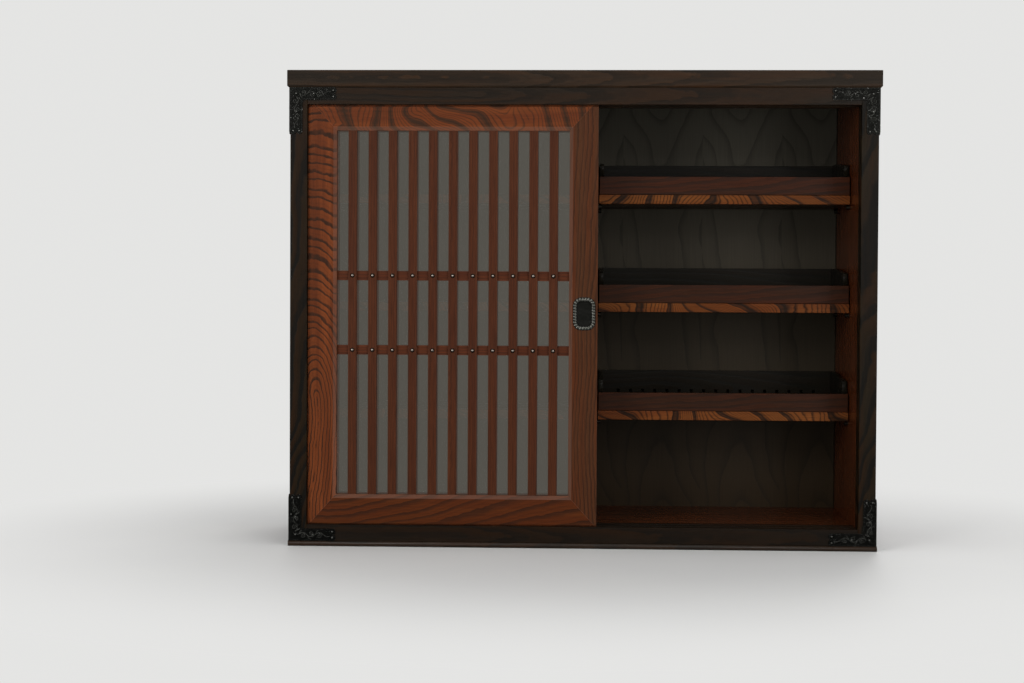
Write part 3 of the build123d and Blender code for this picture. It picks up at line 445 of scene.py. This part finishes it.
def wood_colour(graph, space, wood, pith, seed):
    """Colour, pore mask and fibre of one kind of wood."""
    rings = growth_rings(graph, space, wood, pith, seed)
    line, soft = wood["line"], wood.get("soft", USUAL_SOFT)
    pores = graph.ramp(
        graph.math("FRACT", rings),
        [(0.0, 0.0), (soft, 0.9), (line * 0.7, 1.0), (line, 0.15), (line + 0.2, 0.0), (1.0, 0.0)],
    )
    fine = graph.ramp(graph.math("FRACT", graph.math("MULTIPLY", rings, wood["fine"])), FINE_LINE)
    fibre = fibre_noise(graph, space, FIBRES)
    streak = graph.spread(fibre_noise(graph, space, STREAKS), 0.3, 0.6, 0.7, 1.0)
    tinted = graph.spread(fibre_noise(graph, space, BROAD_STREAKS), 0.35, 0.62)
    body = graph.mix(tinted, wood["light"], wood["tint"])
    dark = graph.math("MULTIPLY", pores, wood["depth_of_line"])
    dark = graph.math("MULTIPLY", graph.math("MULTIPLY_ADD", fine, wood["fine_depth"], dark), streak)
    colour = graph.mix(graph.math("MINIMUM", dark, DARKEST), body, wood["dark"])
    shade = graph.spread(fibre, 0.3, 0.7, 1 - wood["fibre"], 1 + wood["fibre"] * 0.6)
    return graph.shaded(colour, shade), pores, fibre


def chamfer_mask(graph):
    """1 on faces that stand askew to the three planes of the board."""
    face = graph.facing()
    squareness = graph.math("MAXIMUM", graph.math("MAXIMUM", face["X"], face["Y"]), face["Z"])
    return graph.spread(squareness, *CHAMFER_TURN)


def varnished(graph, colour, pores, fibre, wood, wear=ARRIS_WEAR, sheen=WOOD_SHEEN):
    """Satin varnish over stained wood, thin at the arrises and open over the pores."""
    worn = graph.math("MULTIPLY", graph.edge_wear(WORN_RADIUS), wear)
    bare = graph.mix(1.0, colour, BARE_WOOD, "MULTIPLY")
    smear = graph.noise(graph.position(), scale=7.0, detail=3.0).outputs["Fac"]
    rough = graph.spread(smear, 0.3, 0.7, wood["rough"] - 0.04, wood["rough"] + 0.06)
    height = graph.math("MULTIPLY_ADD", pores, -0.7, graph.math("MULTIPLY", fibre, 0.5))
    return graph.principled(
        Base_Color=graph.mix(worn, colour, bare),
        Roughness=graph.math("MULTIPLY_ADD", pores, PORE_ROUGHNESS, rough),
        Specular_IOR_Level=sheen,
        Normal=graph.bump(height, strength=0.22, distance=GRAIN_RELIEF),
    )


def toned(wood, tone):
    """The same kind of wood with its colours multiplied by tone."""
    shades = {}
    for key in ("light", "dark", "tint"):
        shades[key] = rgb(*(part * tone for part in wood[key][:3]))
    return {**wood, **shades}


def wood_material(name, wood, along, pith, seed, pitch=None, sheen=WOOD_SHEEN):
    """A board of one wood. With pitch, members that far apart are separate sticks."""
    graph = material_graph(name)
    across, depth, length = grain_space(graph, along)
    if pitch:
        stick = graph.math("FLOOR", graph.math("DIVIDE", across, pitch))
        shift = graph.add("ShaderNodeTexWhiteNoise", {"W": stick}, noise_dimensions="1D")
        length = graph.math("MULTIPLY_ADD", shift.outputs["Value"], STICK_STEP, length)
    colour, pores, fibre = wood_colour(graph, (across, depth, length), wood, pith, seed)
    # The doors' chamfers get a painted highlight, lightened in their base colour.
    if "door" in name:
        rubbed = graph.math("MULTIPLY", chamfer_mask(graph), CHAMFER_HIGHLIGHT_SHARE)
        colour = graph.mix(rubbed, colour, CHAMFER_HIGHLIGHT_TONE)
    return varnished(graph, colour, pores, fibre, wood, sheen=sheen)


def shelf_material(name, shelf, front, seed):
    """A dark shelf with a figured strip along its front edge."""
    graph = material_graph(name)
    space = grain_space(graph, "x")
    board, board_pores, fibre = wood_colour(
        graph, space, WOODS["shelf"], board_pith(shelf, "shelf", "x", seed), seed
    )
    strip, strip_pores, _ = wood_colour(
        graph, space, WOODS["lipping"], board_pith(shelf, "lipping", "x", seed), seed + LIPPING_SEED
    )
    in_strip = graph.math("LESS_THAN", space[1], front + LIPPING)
    colour = graph.mix(in_strip, board, strip)
    pores = graph.mix(in_strip, board_pores, strip_pores)
    return varnished(graph, colour, pores, fibre, WOODS["shelf"], SHELF_WEAR)


def rise_from(graph, level, edge, rate):
    """0 at the panel's head or foot, rising to 1 away from it."""
    away = graph.math("ABSOLUTE", graph.math("SUBTRACT", level, edge))
    return graph.math("SUBTRACT", 1.0, graph.math("EXPONENT", graph.math("MULTIPLY", away, -rate)))


def veneer_lines(graph, across, length, foot, head):
    """The crowned figure that each leaf of the veneer repeats."""
    leaf = graph.math("WRAP", across, LEAF_WIDTH / 2, -LEAF_WIDTH / 2)
    point = graph.vector(leaf, 0.0, length)
    wander = graph.split(graph.noise(point, VENEER_DRIFT, 1.5, 0.45).outputs["Color"])
    heart = graph.math("SUBTRACT", leaf, VENEER_SWAY / 2)
    aside = graph.math("MULTIPLY_ADD", wander["X"], VENEER_SWAY, heart)
    height = graph.math("SUBTRACT", length, VENEER_SWIRL / 2)
    level = graph.math("MULTIPLY_ADD", wander["Y"], VENEER_SWIRL, height)
    crown = rise_from(graph, level, head, VENEER_HEAD_RATE)
    flame = rise_from(graph, level, foot, VENEER_FOOT_RATE)
    dive = graph.math("MULTIPLY", graph.math("MULTIPLY", crown, flame), VENEER_DIVE)
    radius = graph.length(graph.vector(aside, dive, 0.0))
    ripple = graph.noise(point, VENEER_RIPPLE_SCALE).outputs["Fac"]
    waver = graph.math("MULTIPLY", ripple, VENEER_RIPPLE)
    rings = graph.math("MULTIPLY_ADD", radius, VENEER_LINES, waver)
    return graph.ramp(graph.math("FRACT", rings), VENEER_PROFILE)


def veneer_material(name, foot, head, middle):
    """Near-black back panel of slip-matched leaves, each with the same crowned figure. Its inside
    is painted lighter towards the head, as painted light; its outside, behind the middle, has the
    foot's tone all over."""
    graph = material_graph(name)
    space = grain_space(graph, "z")
    across, depth, length = space
    line = veneer_lines(graph, across, length, foot, head)
    fibre = fibre_noise(graph, space, VENEER_FIBRES)
    inside = graph.math("LESS_THAN", depth, middle)
    # Painted light: the inside grows lighter from the foot to the head.
    body = graph.ramp(graph.math("MULTIPLY", graph.spread(length, foot, head), inside), VENEER_TONES_WITH_PAINTED_LIGHT)
    colour = graph.mix(graph.math("MULTIPLY", line, VENEER_LINE_DEPTH), body, VENEER_LINE)
    height = graph.math("MULTIPLY_ADD", line, -0.8, graph.math("MULTIPLY", fibre, 0.4))
    return graph.principled(
        Base_Color=graph.shaded(colour, graph.spread(fibre, 0.3, 0.7, 0.88, 1.10)),
        Roughness=graph.spread(fibre, 0.2, 0.8, 0.36, 0.48),
        Specular_IOR_Level=WOOD_SHEEN,
        Normal=graph.bump(height, strength=0.2, distance=GRAIN_RELIEF),
    )


# ---- Metal, glass and stage ---------------------------------------------------
BRIGHT_IRON = rgb(0.30, 0.30, 0.28)
IRON_ARRIS = 0.0007             # radius of the edges that wear bright
SPOT_HEIGHT, SPOT_EDGE = 1.06, 0.10         # where high spots are rubbed, and how softly
TARNISH = 0.35                  # share of its colour that tarnished metal keeps
CROWN_EDGE = (0.94, 0.995)      # how squarely a dome's rubbed top faces out


def iron_material(name, gloss, rubbed, worn, hammering):
    """Blackened iron of this gloss. rubbed is how many high spots are bright, with -1 for
    none, worn how bright the edges are, and hammering how deep the surface is worked."""
    graph = material_graph(name)
    point = graph.position()
    pits = graph.noise(point, scale=900.0, detail=3.0, roughness=0.6).outputs["Fac"]
    waves = graph.noise(point, scale=300.0, detail=1.5, distortion=1.8).outputs["Fac"]
    bloom = graph.noise(point, scale=60.0, detail=3.0).outputs["Fac"]
    dull = rgb(gloss * 0.70, gloss * 0.71, gloss * 0.62)
    body = graph.mix(graph.spread(bloom, 0.35, 0.65), dull, rgb(gloss, gloss, gloss * 0.9))
    height = graph.math("MULTIPLY_ADD", pits, 0.6, waves)
    spot = SPOT_HEIGHT - rubbed
    edges = graph.math("MULTIPLY", graph.edge_wear(IRON_ARRIS), worn)
    bright = graph.math("MAXIMUM", graph.spread(height, spot, spot + SPOT_EDGE), edges)
    relief = graph.math("MULTIPLY_ADD", pits, 0.2, waves)
    return graph.principled(
        Base_Color=graph.mix(bright, body, BRIGHT_IRON),
        Metallic=1.0,
        Roughness=graph.spread(pits, 0.3, 0.7, 0.18, 0.30),
        Normal=graph.bump(relief, strength=hammering, distance=0.0011),
    )


def turned_metal_material(name, colour, roughness, crown=None):
    """Smooth metal with a little tarnish, for nail heads and pins. A crown colour is what
    handling has rubbed bright on top of a dome that faces forwards or sideways."""
    graph = material_graph(name)
    tarnish = graph.noise(graph.position(), scale=350.0, detail=3.0, roughness=0.6).outputs["Fac"]
    dull = rgb(*(part * TARNISH for part in colour[:3]))
    body = graph.mix(graph.spread(tarnish, 0.42, 0.72), colour, dull)
    if crown:
        face = graph.facing()
        top = graph.spread(graph.math("MAXIMUM", face["X"], face["Y"]), *CROWN_EDGE)
        body = graph.mix(top, body, crown)
    return graph.principled(
        Base_Color=body,
        Metallic=1.0,
        Roughness=graph.spread(tarnish, 0.3, 0.7, roughness, roughness + 0.15),
        Normal=graph.bump(tarnish, strength=0.1, distance=0.0002),
    )


def glass_material(name):
    """Clear float glass. Its glow is a painted reflection: the grey veil that the pale room lays on both
    faces.
    """
    return material_graph(name).principled(
        Base_Color=rgb(0.0, 0.0, 0.0),
        Roughness=0.15,
        Specular_IOR_Level=0.12,
        # Painted reflection of the pale room, as a glow from the glass.
        Emission_Color=rgb(1.0, 0.94, 0.80),
        Emission_Strength=0.23,
        Alpha=0.11,
    )


def floor_material():
    """Pale floor that fades into the background, so that no horizon shows."""
    graph = material_graph("studio_floor")
    point = graph.position()
    mottle = graph.noise(point, scale=3.0, detail=3.0).outputs["Fac"]
    tone = graph.mix(graph.spread(mottle, 0.3, 0.7), FLOOR_COLOUR, FLOOR_MOTTLE)
    paint = graph.add(
        "ShaderNodeBsdfPrincipled",
        {"Base Color": tone, "Roughness": 0.55, "Specular IOR Level": 0.2},
    ).outputs[0]
    away = graph.add(
        "ShaderNodeMapRange",
        (graph.length(point), FADE_START, FADE_END),
        interpolation_type="SMOOTHSTEP",
    ).outputs[0]
    glow = graph.add("ShaderNodeEmission", (BACKGROUND, 1.0)).outputs[0]
    return graph.finish(graph.add("ShaderNodeMixShader", (away, paint, glow)).outputs[0])


def light_the_world():
    """A pale background to look at and soft room light to see by."""
    world = bpy.data.worlds.new("studio")
    bpy.context.scene.world = world
    graph = Graph(world)
    rays = graph.add("ShaderNodeLightPath").outputs
    seen = graph.math("MAXIMUM", rays["Is Camera Ray"], rays["Is Glossy Ray"])
    seen = graph.math("MAXIMUM", seen, rays["Is Transmission Ray"])
    room = graph.add("ShaderNodeBackground", (ROOM_LIGHT,)).outputs[0]
    backdrop = graph.add("ShaderNodeBackground", (BACKGROUND,)).outputs[0]
    choice = graph.add("ShaderNodeMixShader", (seen, room, backdrop)).outputs[0]
    graph.finish(choice, "ShaderNodeOutputWorld")


def add_softbox(name, place, size, power):
    lamp = bpy.data.lights.new(name, "AREA")
    lamp.shape = "RECTANGLE"
    lamp.size, lamp.size_y = size
    lamp.energy = power
    softbox = bpy.data.objects.new(name, lamp)
    softbox.location = place
    direction = Vector(SOFTBOX_AIM) - Vector(place)
    softbox.rotation_euler = direction.to_track_quat("-Z", "Y").to_euler()
    softbox.visible_camera = False
    bpy.context.collection.objects.link(softbox)


def add_floor():
    mesh = bpy.data.meshes.new("floor")
    form = bmesh.new()
    bmesh.ops.create_circle(form, cap_ends=True, radius=FLOOR_RADIUS, segments=64)
    form.to_mesh(mesh)
    form.free()
    floor = bpy.data.objects.new("floor", mesh)
    bpy.context.collection.objects.link(floor)
    floor.data.materials.append(floor_material())


def add_camera():
    camera = bpy.data.objects.new("camera", bpy.data.cameras.new("camera"))
    camera.data.sensor_width = SENSOR
    camera.data.lens = FOCAL_PIXELS / IMAGE_WIDTH * SENSOR
    turn = (
        Matrix.Rotation(CAMERA_YAW, 4, "Z")
        @ Matrix.Rotation(pi / 2 + CAMERA_PITCH, 4, "X")
        @ Matrix.Rotation(CAMERA_ROLL, 4, "Z")
    )
    camera.matrix_world = Matrix.Translation(CAMERA_PLACE) @ turn
    bpy.context.collection.objects.link(camera)
    bpy.context.scene.camera = camera


# ---- Pieces in mesh code -------------------------------------------------------
SAME_PLACE = 1e-5               # vertices closer than this are one


def link_piece(name, data, body, material):
    piece = bpy.data.objects.new(name, data)
    bpy.context.collection.objects.link(piece)
    data.materials.append(material)
    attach(piece, body)
    return piece


def finished_mesh(name, form, smooth=True):
    """The mesh made from a bmesh, which is freed."""
    mesh = bpy.data.meshes.new(name)
    form.to_mesh(mesh)
    form.free()
    for face in mesh.polygons:
        face.use_smooth = smooth
    return mesh


def loose_parts(node):
    """The vertices of each separate solid in a CAD node."""
    form = bmesh.new()
    form.from_mesh(nodes[node].data)
    bmesh.ops.remove_doubles(form, verts=form.verts, dist=SAME_PLACE)
    waiting = set(form.verts)
    parts = []
    while waiting:
        stack = [waiting.pop()]
        found = []
        while stack:
            vertex = stack.pop()
            found.append(vertex.co.copy())
            for edge in vertex.link_edges:
                other = edge.other_vert(vertex)
                if other in waiting:
                    waiting.remove(other)
                    stack.append(other)
        parts.append(found)
    form.free()
    return parts


def corners(points):
    low = Vector(min(point[axis] for point in points) for axis in range(3))
    high = Vector(max(point[axis] for point in points) for axis in range(3))
    return low, high


def in_order(places):
    return sorted(places, key=lambda place: tuple(place[0]))


def turned_ring(form, place, radius, height, segments):
    """One ring of a turned solid's vertices, or its single tip where the radius is 0."""
    ring = []
    for step in range(segments if radius else 1):
        angle = 2 * pi * step / segments
        ring.append(form.verts.new(place @ Vector((radius * cos(angle), radius * sin(angle), height))))
    return ring


def turned(name, profile, places, smooth=True, segments=24):
    """A mesh with one turned solid, its profile as (radius, height), at each place."""
    form = bmesh.new()
    for point, direction in places:
        turn = Vector(direction).to_track_quat("Z", "X").to_matrix().to_4x4()
        place = Matrix.Translation(point) @ turn
        rings = [turned_ring(form, place, radius, height, segments) for radius, height in profile]
        for above, below in zip(rings, rings[1:]):
            for step in range(segments):
                after = (step + 1) % segments
                corner = [
                    above[step % len(above)], below[step % len(below)],
                    below[after % len(below)], above[after % len(above)],
                ]
                form.faces.new(list(dict.fromkeys(corner)))
    return finished_mesh(name, form, smooth)


def dome_profile(radius, height, steps=6):
    """A low dome with a small rolled edge, closed below the surface it sits on."""
    profile = []
    for step in range(steps):
        angle = pi / 2 * step / steps
        profile.append((radius * sin(angle), height * cos(angle)))
    return profile + [(radius, height * DOME_LIP), (radius * DOME_FOOT, -NAIL_SUNK), (0, -NAIL_SUNK)]


def nail_places(node, head_height):
    """Where the heads of a node's nails sit, and which way they face."""
    places = []
    for points in loose_parts(node):
        low, high = corners(points)
        middle = (low + high) / 2
        size = high - low
        if size.y > size.x:
            places.append((Vector((middle.x, low.y + head_height, middle.z)), (0, -1, 0)))
        else:
            side = 1 if middle.x > 0 else -1
            outer = high.x if side > 0 else low.x
            places.append((Vector((outer - side * head_height, middle.y, middle.z)), (side, 0, 0)))
    return in_order(places)


def add_nails(node, body, radius, height, material):
    mesh = turned(f"{node}_heads", dome_profile(radius, height), nail_places(node, height))
    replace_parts(link_piece(f"{node}_heads", mesh, body, material), node)


def add_shelf_pins(material):
    """Turned pins in place of the plain ones under the shelves."""
    places = []
    for points in loose_parts("shelf_pins"):
        low, high = corners(points)
        middle = (low + high) / 2
        left_end = [point for point in points if point.x < low.x + SAME_PLACE * 10]
        left_radius = max(abs(point.y - middle.y) for point in left_end)
        into_bay = -1 if left_radius > (PIN_HEAD_RADIUS + PIN_SPIGOT_RADIUS) / 2 else 1
        places.append((middle, (into_bay, 0, 0)))
    half = (high.x - low.x) / 2
    profile = [
        (0, half), (PIN_HEAD_RADIUS - PIN_ARRIS, half), (PIN_HEAD_RADIUS, half - PIN_ARRIS),
        (PIN_HEAD_RADIUS, 0), (PIN_SPIGOT_RADIUS, 0), (PIN_SPIGOT_RADIUS, -half), (0, -half),
    ]
    mesh = turned("turned_shelf_pins", profile, in_order(places), smooth=False)
    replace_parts(link_piece("turned_shelf_pins", mesh, "cabinet", material), "shelf_pins")


def point_on_loop(sides, corner, distance):
    """The place and outward direction this far round a loop of straight sides, each with its
    outward heading, start, length, and the centre of the rounded corner after it."""
    quarter = pi / 2 * corner
    for heading, start, run, pivot in sides:
        if distance <= run:
            out = Vector((cos(heading), sin(heading)))
            along = Vector((-out.y, out.x))
            return Vector(start) + out * corner + along * distance, out
        distance -= run
        if distance <= quarter:
            angle = heading + distance / corner
            out = Vector((cos(angle), sin(angle)))
            return Vector(pivot) + out * corner, out
        distance -= quarter


def rounded_loop(half_width, half_height, corner, steps):
    """Points evenly spaced round a rounded rectangle, with their outward directions."""
    x, z = half_width - corner, half_height - corner
    sides = (
        (0, (x, -z), 2 * z, (x, z)),
        (pi / 2, (x, z), 2 * x, (-x, z)),
        (pi, (-x, z), 2 * z, (-x, -z)),
        (3 * pi / 2, (-x, -z), 2 * x, (x, -z)),
    )
    total = 4 * (x + z + pi / 2 * corner)
    return [point_on_loop(sides, corner, total * step / steps) for step in range(steps)]


def rope_ring(form, centre, out, phase):
    """One cross-section of the twisted rope, at this phase of its beads."""
    ring = []
    for turn in range(ROPE_STEPS_AROUND):
        angle = 2 * pi * turn / ROPE_STEPS_AROUND
        swell = abs(cos(phase + ROPE_TWIST * cos(angle)))
        ridge = 1 - ROPE_VALLEY * (1 - swell)
        reach = ROPE_WIDTH / 2 * (ROPE_WAIST + (1 - ROPE_WAIST) * ridge) * cos(angle)
        lift = ROPE_DEPTH / 2 * ridge * sin(angle)
        point = (centre.x + out.x * reach, centre.y - lift, centre.z + out.y * reach)
        ring.append(form.verts.new(point))
    return ring


def add_rope_rim(door, material):
    """The twisted rope border round a finger pull."""
    low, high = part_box(f"{door}_finger_pull")
    middle = (low + high) / 2
    inset = ROPE_WIDTH / 2 - ROPE_INSET
    steps = ROPE_BEADS * ROPE_STEPS_A_BEAD
    half_width, half_height = (high.x - low.x) / 2 - inset, (high.z - low.z) / 2 - inset
    form = bmesh.new()
    rings = []
    for step, (place, out) in enumerate(rounded_loop(half_width, half_height, PULL_CORNER - inset, steps)):
        centre = Vector((middle.x + place.x, low.y + ROPE_SUNK, middle.z + place.y))
        rings.append(rope_ring(form, centre, out, pi * ROPE_BEADS * step / steps))
    for ring, after in zip(rings, rings[1:] + rings[:1]):
        for turn in range(ROPE_STEPS_AROUND):
            on = (turn + 1) % ROPE_STEPS_AROUND
            form.faces.new((ring[turn], ring[on], after[on], after[turn]))
    bmesh.ops.recalc_face_normals(form, faces=form.faces)
    mesh = finished_mesh(f"{door}_pull_rope", form)
    link_piece(f"{door}_pull_rope", mesh, door, material)


# ---- Chased scrolls on the corner fittings -------------------------------------
def spiral(centre, start, way):
    """A tendril that winds inwards, as (across, along) points."""
    points = []
    for step in range(TENDRIL_STEPS + 1):
        share = step / TENDRIL_STEPS
        radius = TENDRIL_RADIUS * (1 - TENDRIL_CLOSING * share)
        angle = start + way * TENDRIL_TURNS * 2 * pi * share
        points.append((centre[0] + radius * cos(angle), centre[1] + radius * sin(angle)))
    return points


def arm_scrolls(first, last, middle):
    """A waving stem along an arm, with a tendril curled into each of its bends, and leaves."""
    stem = []
    for step in range(SCROLL_STEPS + 1):
        along = first + (last - first) * step / SCROLL_STEPS
        stem.append((middle + SCROLL_SWING * sin(pi * (along - first) / SCROLL_BEND), along))
    lines = [stem]
    for index in range(int((last - first) / SCROLL_BEND)):
        side = 1 if index % 2 == 0 else -1
        centre = (middle - side * SCROLL_SWING * TENDRIL_ASIDE, first + SCROLL_BEND * (index + 0.5))
        lines.append(spiral(centre, pi / 2 - side * pi / 2, side))
        leaf_at = first + SCROLL_BEND * (index + LEAF_PLACE)
        lines.append([(middle + side * out, leaf_at + on) for out, on in LEAF])
    return lines


def arm_faces(fitting):
    """The origin, the directions across and along, and the outward direction of both front
    arms and of the side return of a corner fitting."""
    low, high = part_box(f"{fitting}_corner_fitting")
    side = 1 if high.x > 0 else -1
    level = 1 if fitting.startswith("top") else -1
    outer_x = high.x if side > 0 else low.x
    edge_z = high.z if level > 0 else low.z
    front_y = low.y + SCROLL_SUNK
    inwards, to_middle = Vector((-side, 0, 0)), Vector((0, 0, -level))
    corner = Vector((outer_x - side * PLATE, front_y, edge_z))
    side_corner = Vector((outer_x, front_y, edge_z))
    return (
        (corner, inwards, to_middle, Vector((0, -1, 0))),
        (corner, to_middle, inwards, Vector((0, -1, 0))),
        (side_corner, Vector((0, 1, 0)), to_middle, Vector((side, 0, 0))),
    )


def add_scrolls(fitting, material):
    """Raised scrolls on both front arms and the side return of one corner fitting."""
    curve = bpy.data.curves.new(f"{fitting}_scrolls", "CURVE")
    curve.dimensions = "3D"
    curve.bevel_depth = SCROLL_WIRE
    curve.bevel_resolution = 2
    for origin, across, along, outward in arm_faces(fitting):
        start = origin + outward * SCROLL_WIRE * SCROLL_PROUD
        for line in arm_scrolls(SCROLL_START, ARM_LENGTH - SCROLL_END, ARM_WIDTH / 2):
            spline = curve.splines.new("NURBS")
            spline.points.add(len(line) - 1)
            for point, (u, v) in zip(spline.points, line):
                point.co = (*(start + across * u + along * v), 1)
            spline.order_u = 3
            spline.use_endpoint_u = True
    link_piece(f"{fitting}_scrolls", curve, "cabinet", material)


# ---- Materials on the CAD nodes ------------------------------------------------
# The grain's direction by a word in the node's name. In other boards it runs along X.
GRAIN_ALONG = {
    "z": ("post", "side_panel", "stile", "divider", "lattice_bars"),
    "y": ("tray_sides",),
}
# The kind of wood by a word in the node's name. Other boards are the case's.
KINDS = {
    "lattice_bars": "lattice",
    "glass_beads": "lattice",
    "cross_rails": "cross",
    "left_stile": "banded",
    "right_stile": "quiet",
    "door_bottom_rail": "flamed",
    "door_top_rail": "broad",
    "side_panel": "panel",
    "floor_board": "panel",
    "post": "post",
    "tray_front": "tray",
    "tray_sides": "tray_inner",
    "tray_back": "tray_inner",
    "tray_floor": "tray_inner",
}


def first_match(name, table, other):
    return next((value for key, value in table.items() if key in name), other)


def grain_direction(name):
    for along, words in GRAIN_ALONG.items():
        if any(word in name for word in words):
            return along
    return "x"


def board_pith(name, kind, along, seed):
    """Where the log's middle starts on a board, as (across, depth, along)."""
    low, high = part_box(name)
    across, depth, length = ("XYZ".index(axis) for axis in GRAIN_ORDER[along])
    aside, behind, start = PITHS.get(kind, USUAL_PITH)
    stray = (seed * STRAY_STEP) % 1 - 0.5
    return (
        low[across] + (high[across] - low[across]) * (aside + stray * STRAY_ACROSS),
        low[depth] + behind,
        low[length] + (high[length] - low[length]) * (start + stray * STRAY_ALONG),
    )


def dress(node, material):
    mesh = nodes[node].data
    mesh.materials.clear()
    mesh.materials.append(material)


def soften(node, width=ARRIS):
    """Takes the knife edge off a planed piece without changing its mesh."""
    piece = nodes[node]
    weld = piece.modifiers.new("weld", "WELD")
    weld.merge_threshold = 1e-6
    bevel = piece.modifiers.new("arris", "BEVEL")
    bevel.width = width
    bevel.segments = 2
    bevel.limit_method = "ANGLE"
    bevel.angle_limit = ARRIS_ANGLE
    bevel.harden_normals = True


def board_material(name, seed):
    """The wood of every board but the shelves and the back panel."""
    kind = first_match(name, KINDS, "case")
    wood = toned(WOODS[kind], first_match(name, TONES, 1.0))
    along = grain_direction(name)
    pith = board_pith(name, kind, along, seed)
    pitch = BAR_PITCH if name.endswith("lattice_bars") else None
    sheen = BASE_SHEEN if name == "base_frame" else WOOD_SHEEN
    return wood_material(f"{name}_wood", wood, along, pith, seed, pitch, sheen)


def dress_woodwork():
    wooden = sorted(
        part["node"] for part in frame["record"]["subparts"] if part["material_slot"].endswith("wood")
    )
    for seed, name in enumerate(wooden, 1):
        low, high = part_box(name)
        if name == "back_panel":
            dress(name, veneer_material("back_veneer", low.z, high.z, (low.y + high.y) / 2))
            continue
        if name.endswith("shelf"):
            dress(name, shelf_material(f"{name}_wood", name, low.y, seed))
        else:
            dress(name, board_material(name, seed))
        soften(name)


def dress_fittings():
    """The corner fittings with their scrolls and nails, and the shelf pins."""
    plate = iron_material("chased_iron", gloss=0.0042, rubbed=0.02, worn=0.05, hammering=0.42)
    raised = iron_material("rubbed_iron", gloss=0.030, rubbed=0.05, worn=0.15, hammering=0.2)
    dome = turned_metal_material(
        "fitting_nail_domes", rgb(0.024, 0.024, 0.022), 0.16, crown=rgb(0.11, 0.11, 0.10)
    )
    for corner in ("top_left", "top_right", "bottom_left", "bottom_right"):
        dress(f"{corner}_corner_fitting", plate)
        soften(f"{corner}_corner_fitting", FITTING_ARRIS)
        add_scrolls(corner, raised)
    add_nails("fitting_nails", "cabinet", FITTING_NAIL_RADIUS, FITTING_NAIL_HEIGHT, dome)
    add_shelf_pins(turned_metal_material("pin_steel", rgb(0.022, 0.019, 0.015), 0.34))


def dress_doors():
    """The doors' glass, finger pulls and nails."""
    glass = glass_material("float_glass")
    pull = iron_material("smooth_iron", gloss=0.011, rubbed=-1.0, worn=0.0, hammering=0.30)
    rope = iron_material("rope_iron", gloss=0.085, rubbed=-1.0, worn=0.0, hammering=0.0)
    dome = turned_metal_material(
        "nail_domes", rgb(0.038, 0.027, 0.021), 0.10, crown=rgb(0.21, 0.19, 0.17)
    )
    for door in ("right_door", "left_door"):
        dress(f"{door}_glass", glass)
        dress(f"{door}_finger_pull", pull)
        soften(f"{door}_finger_pull", PULL_ARRIS)
        add_nails(f"{door}_lattice_nails", door, DOOR_NAIL_RADIUS, DOOR_NAIL_HEIGHT, dome)
        add_rope_rim(door, rope)


dress_woodwork()
dress_fittings()
dress_doors()
add_floor()
light_the_world()
for softbox in SOFTBOXES:
    add_softbox(*softbox)
add_camera()
bpy.context.scene.view_settings.view_transform = "Standard"
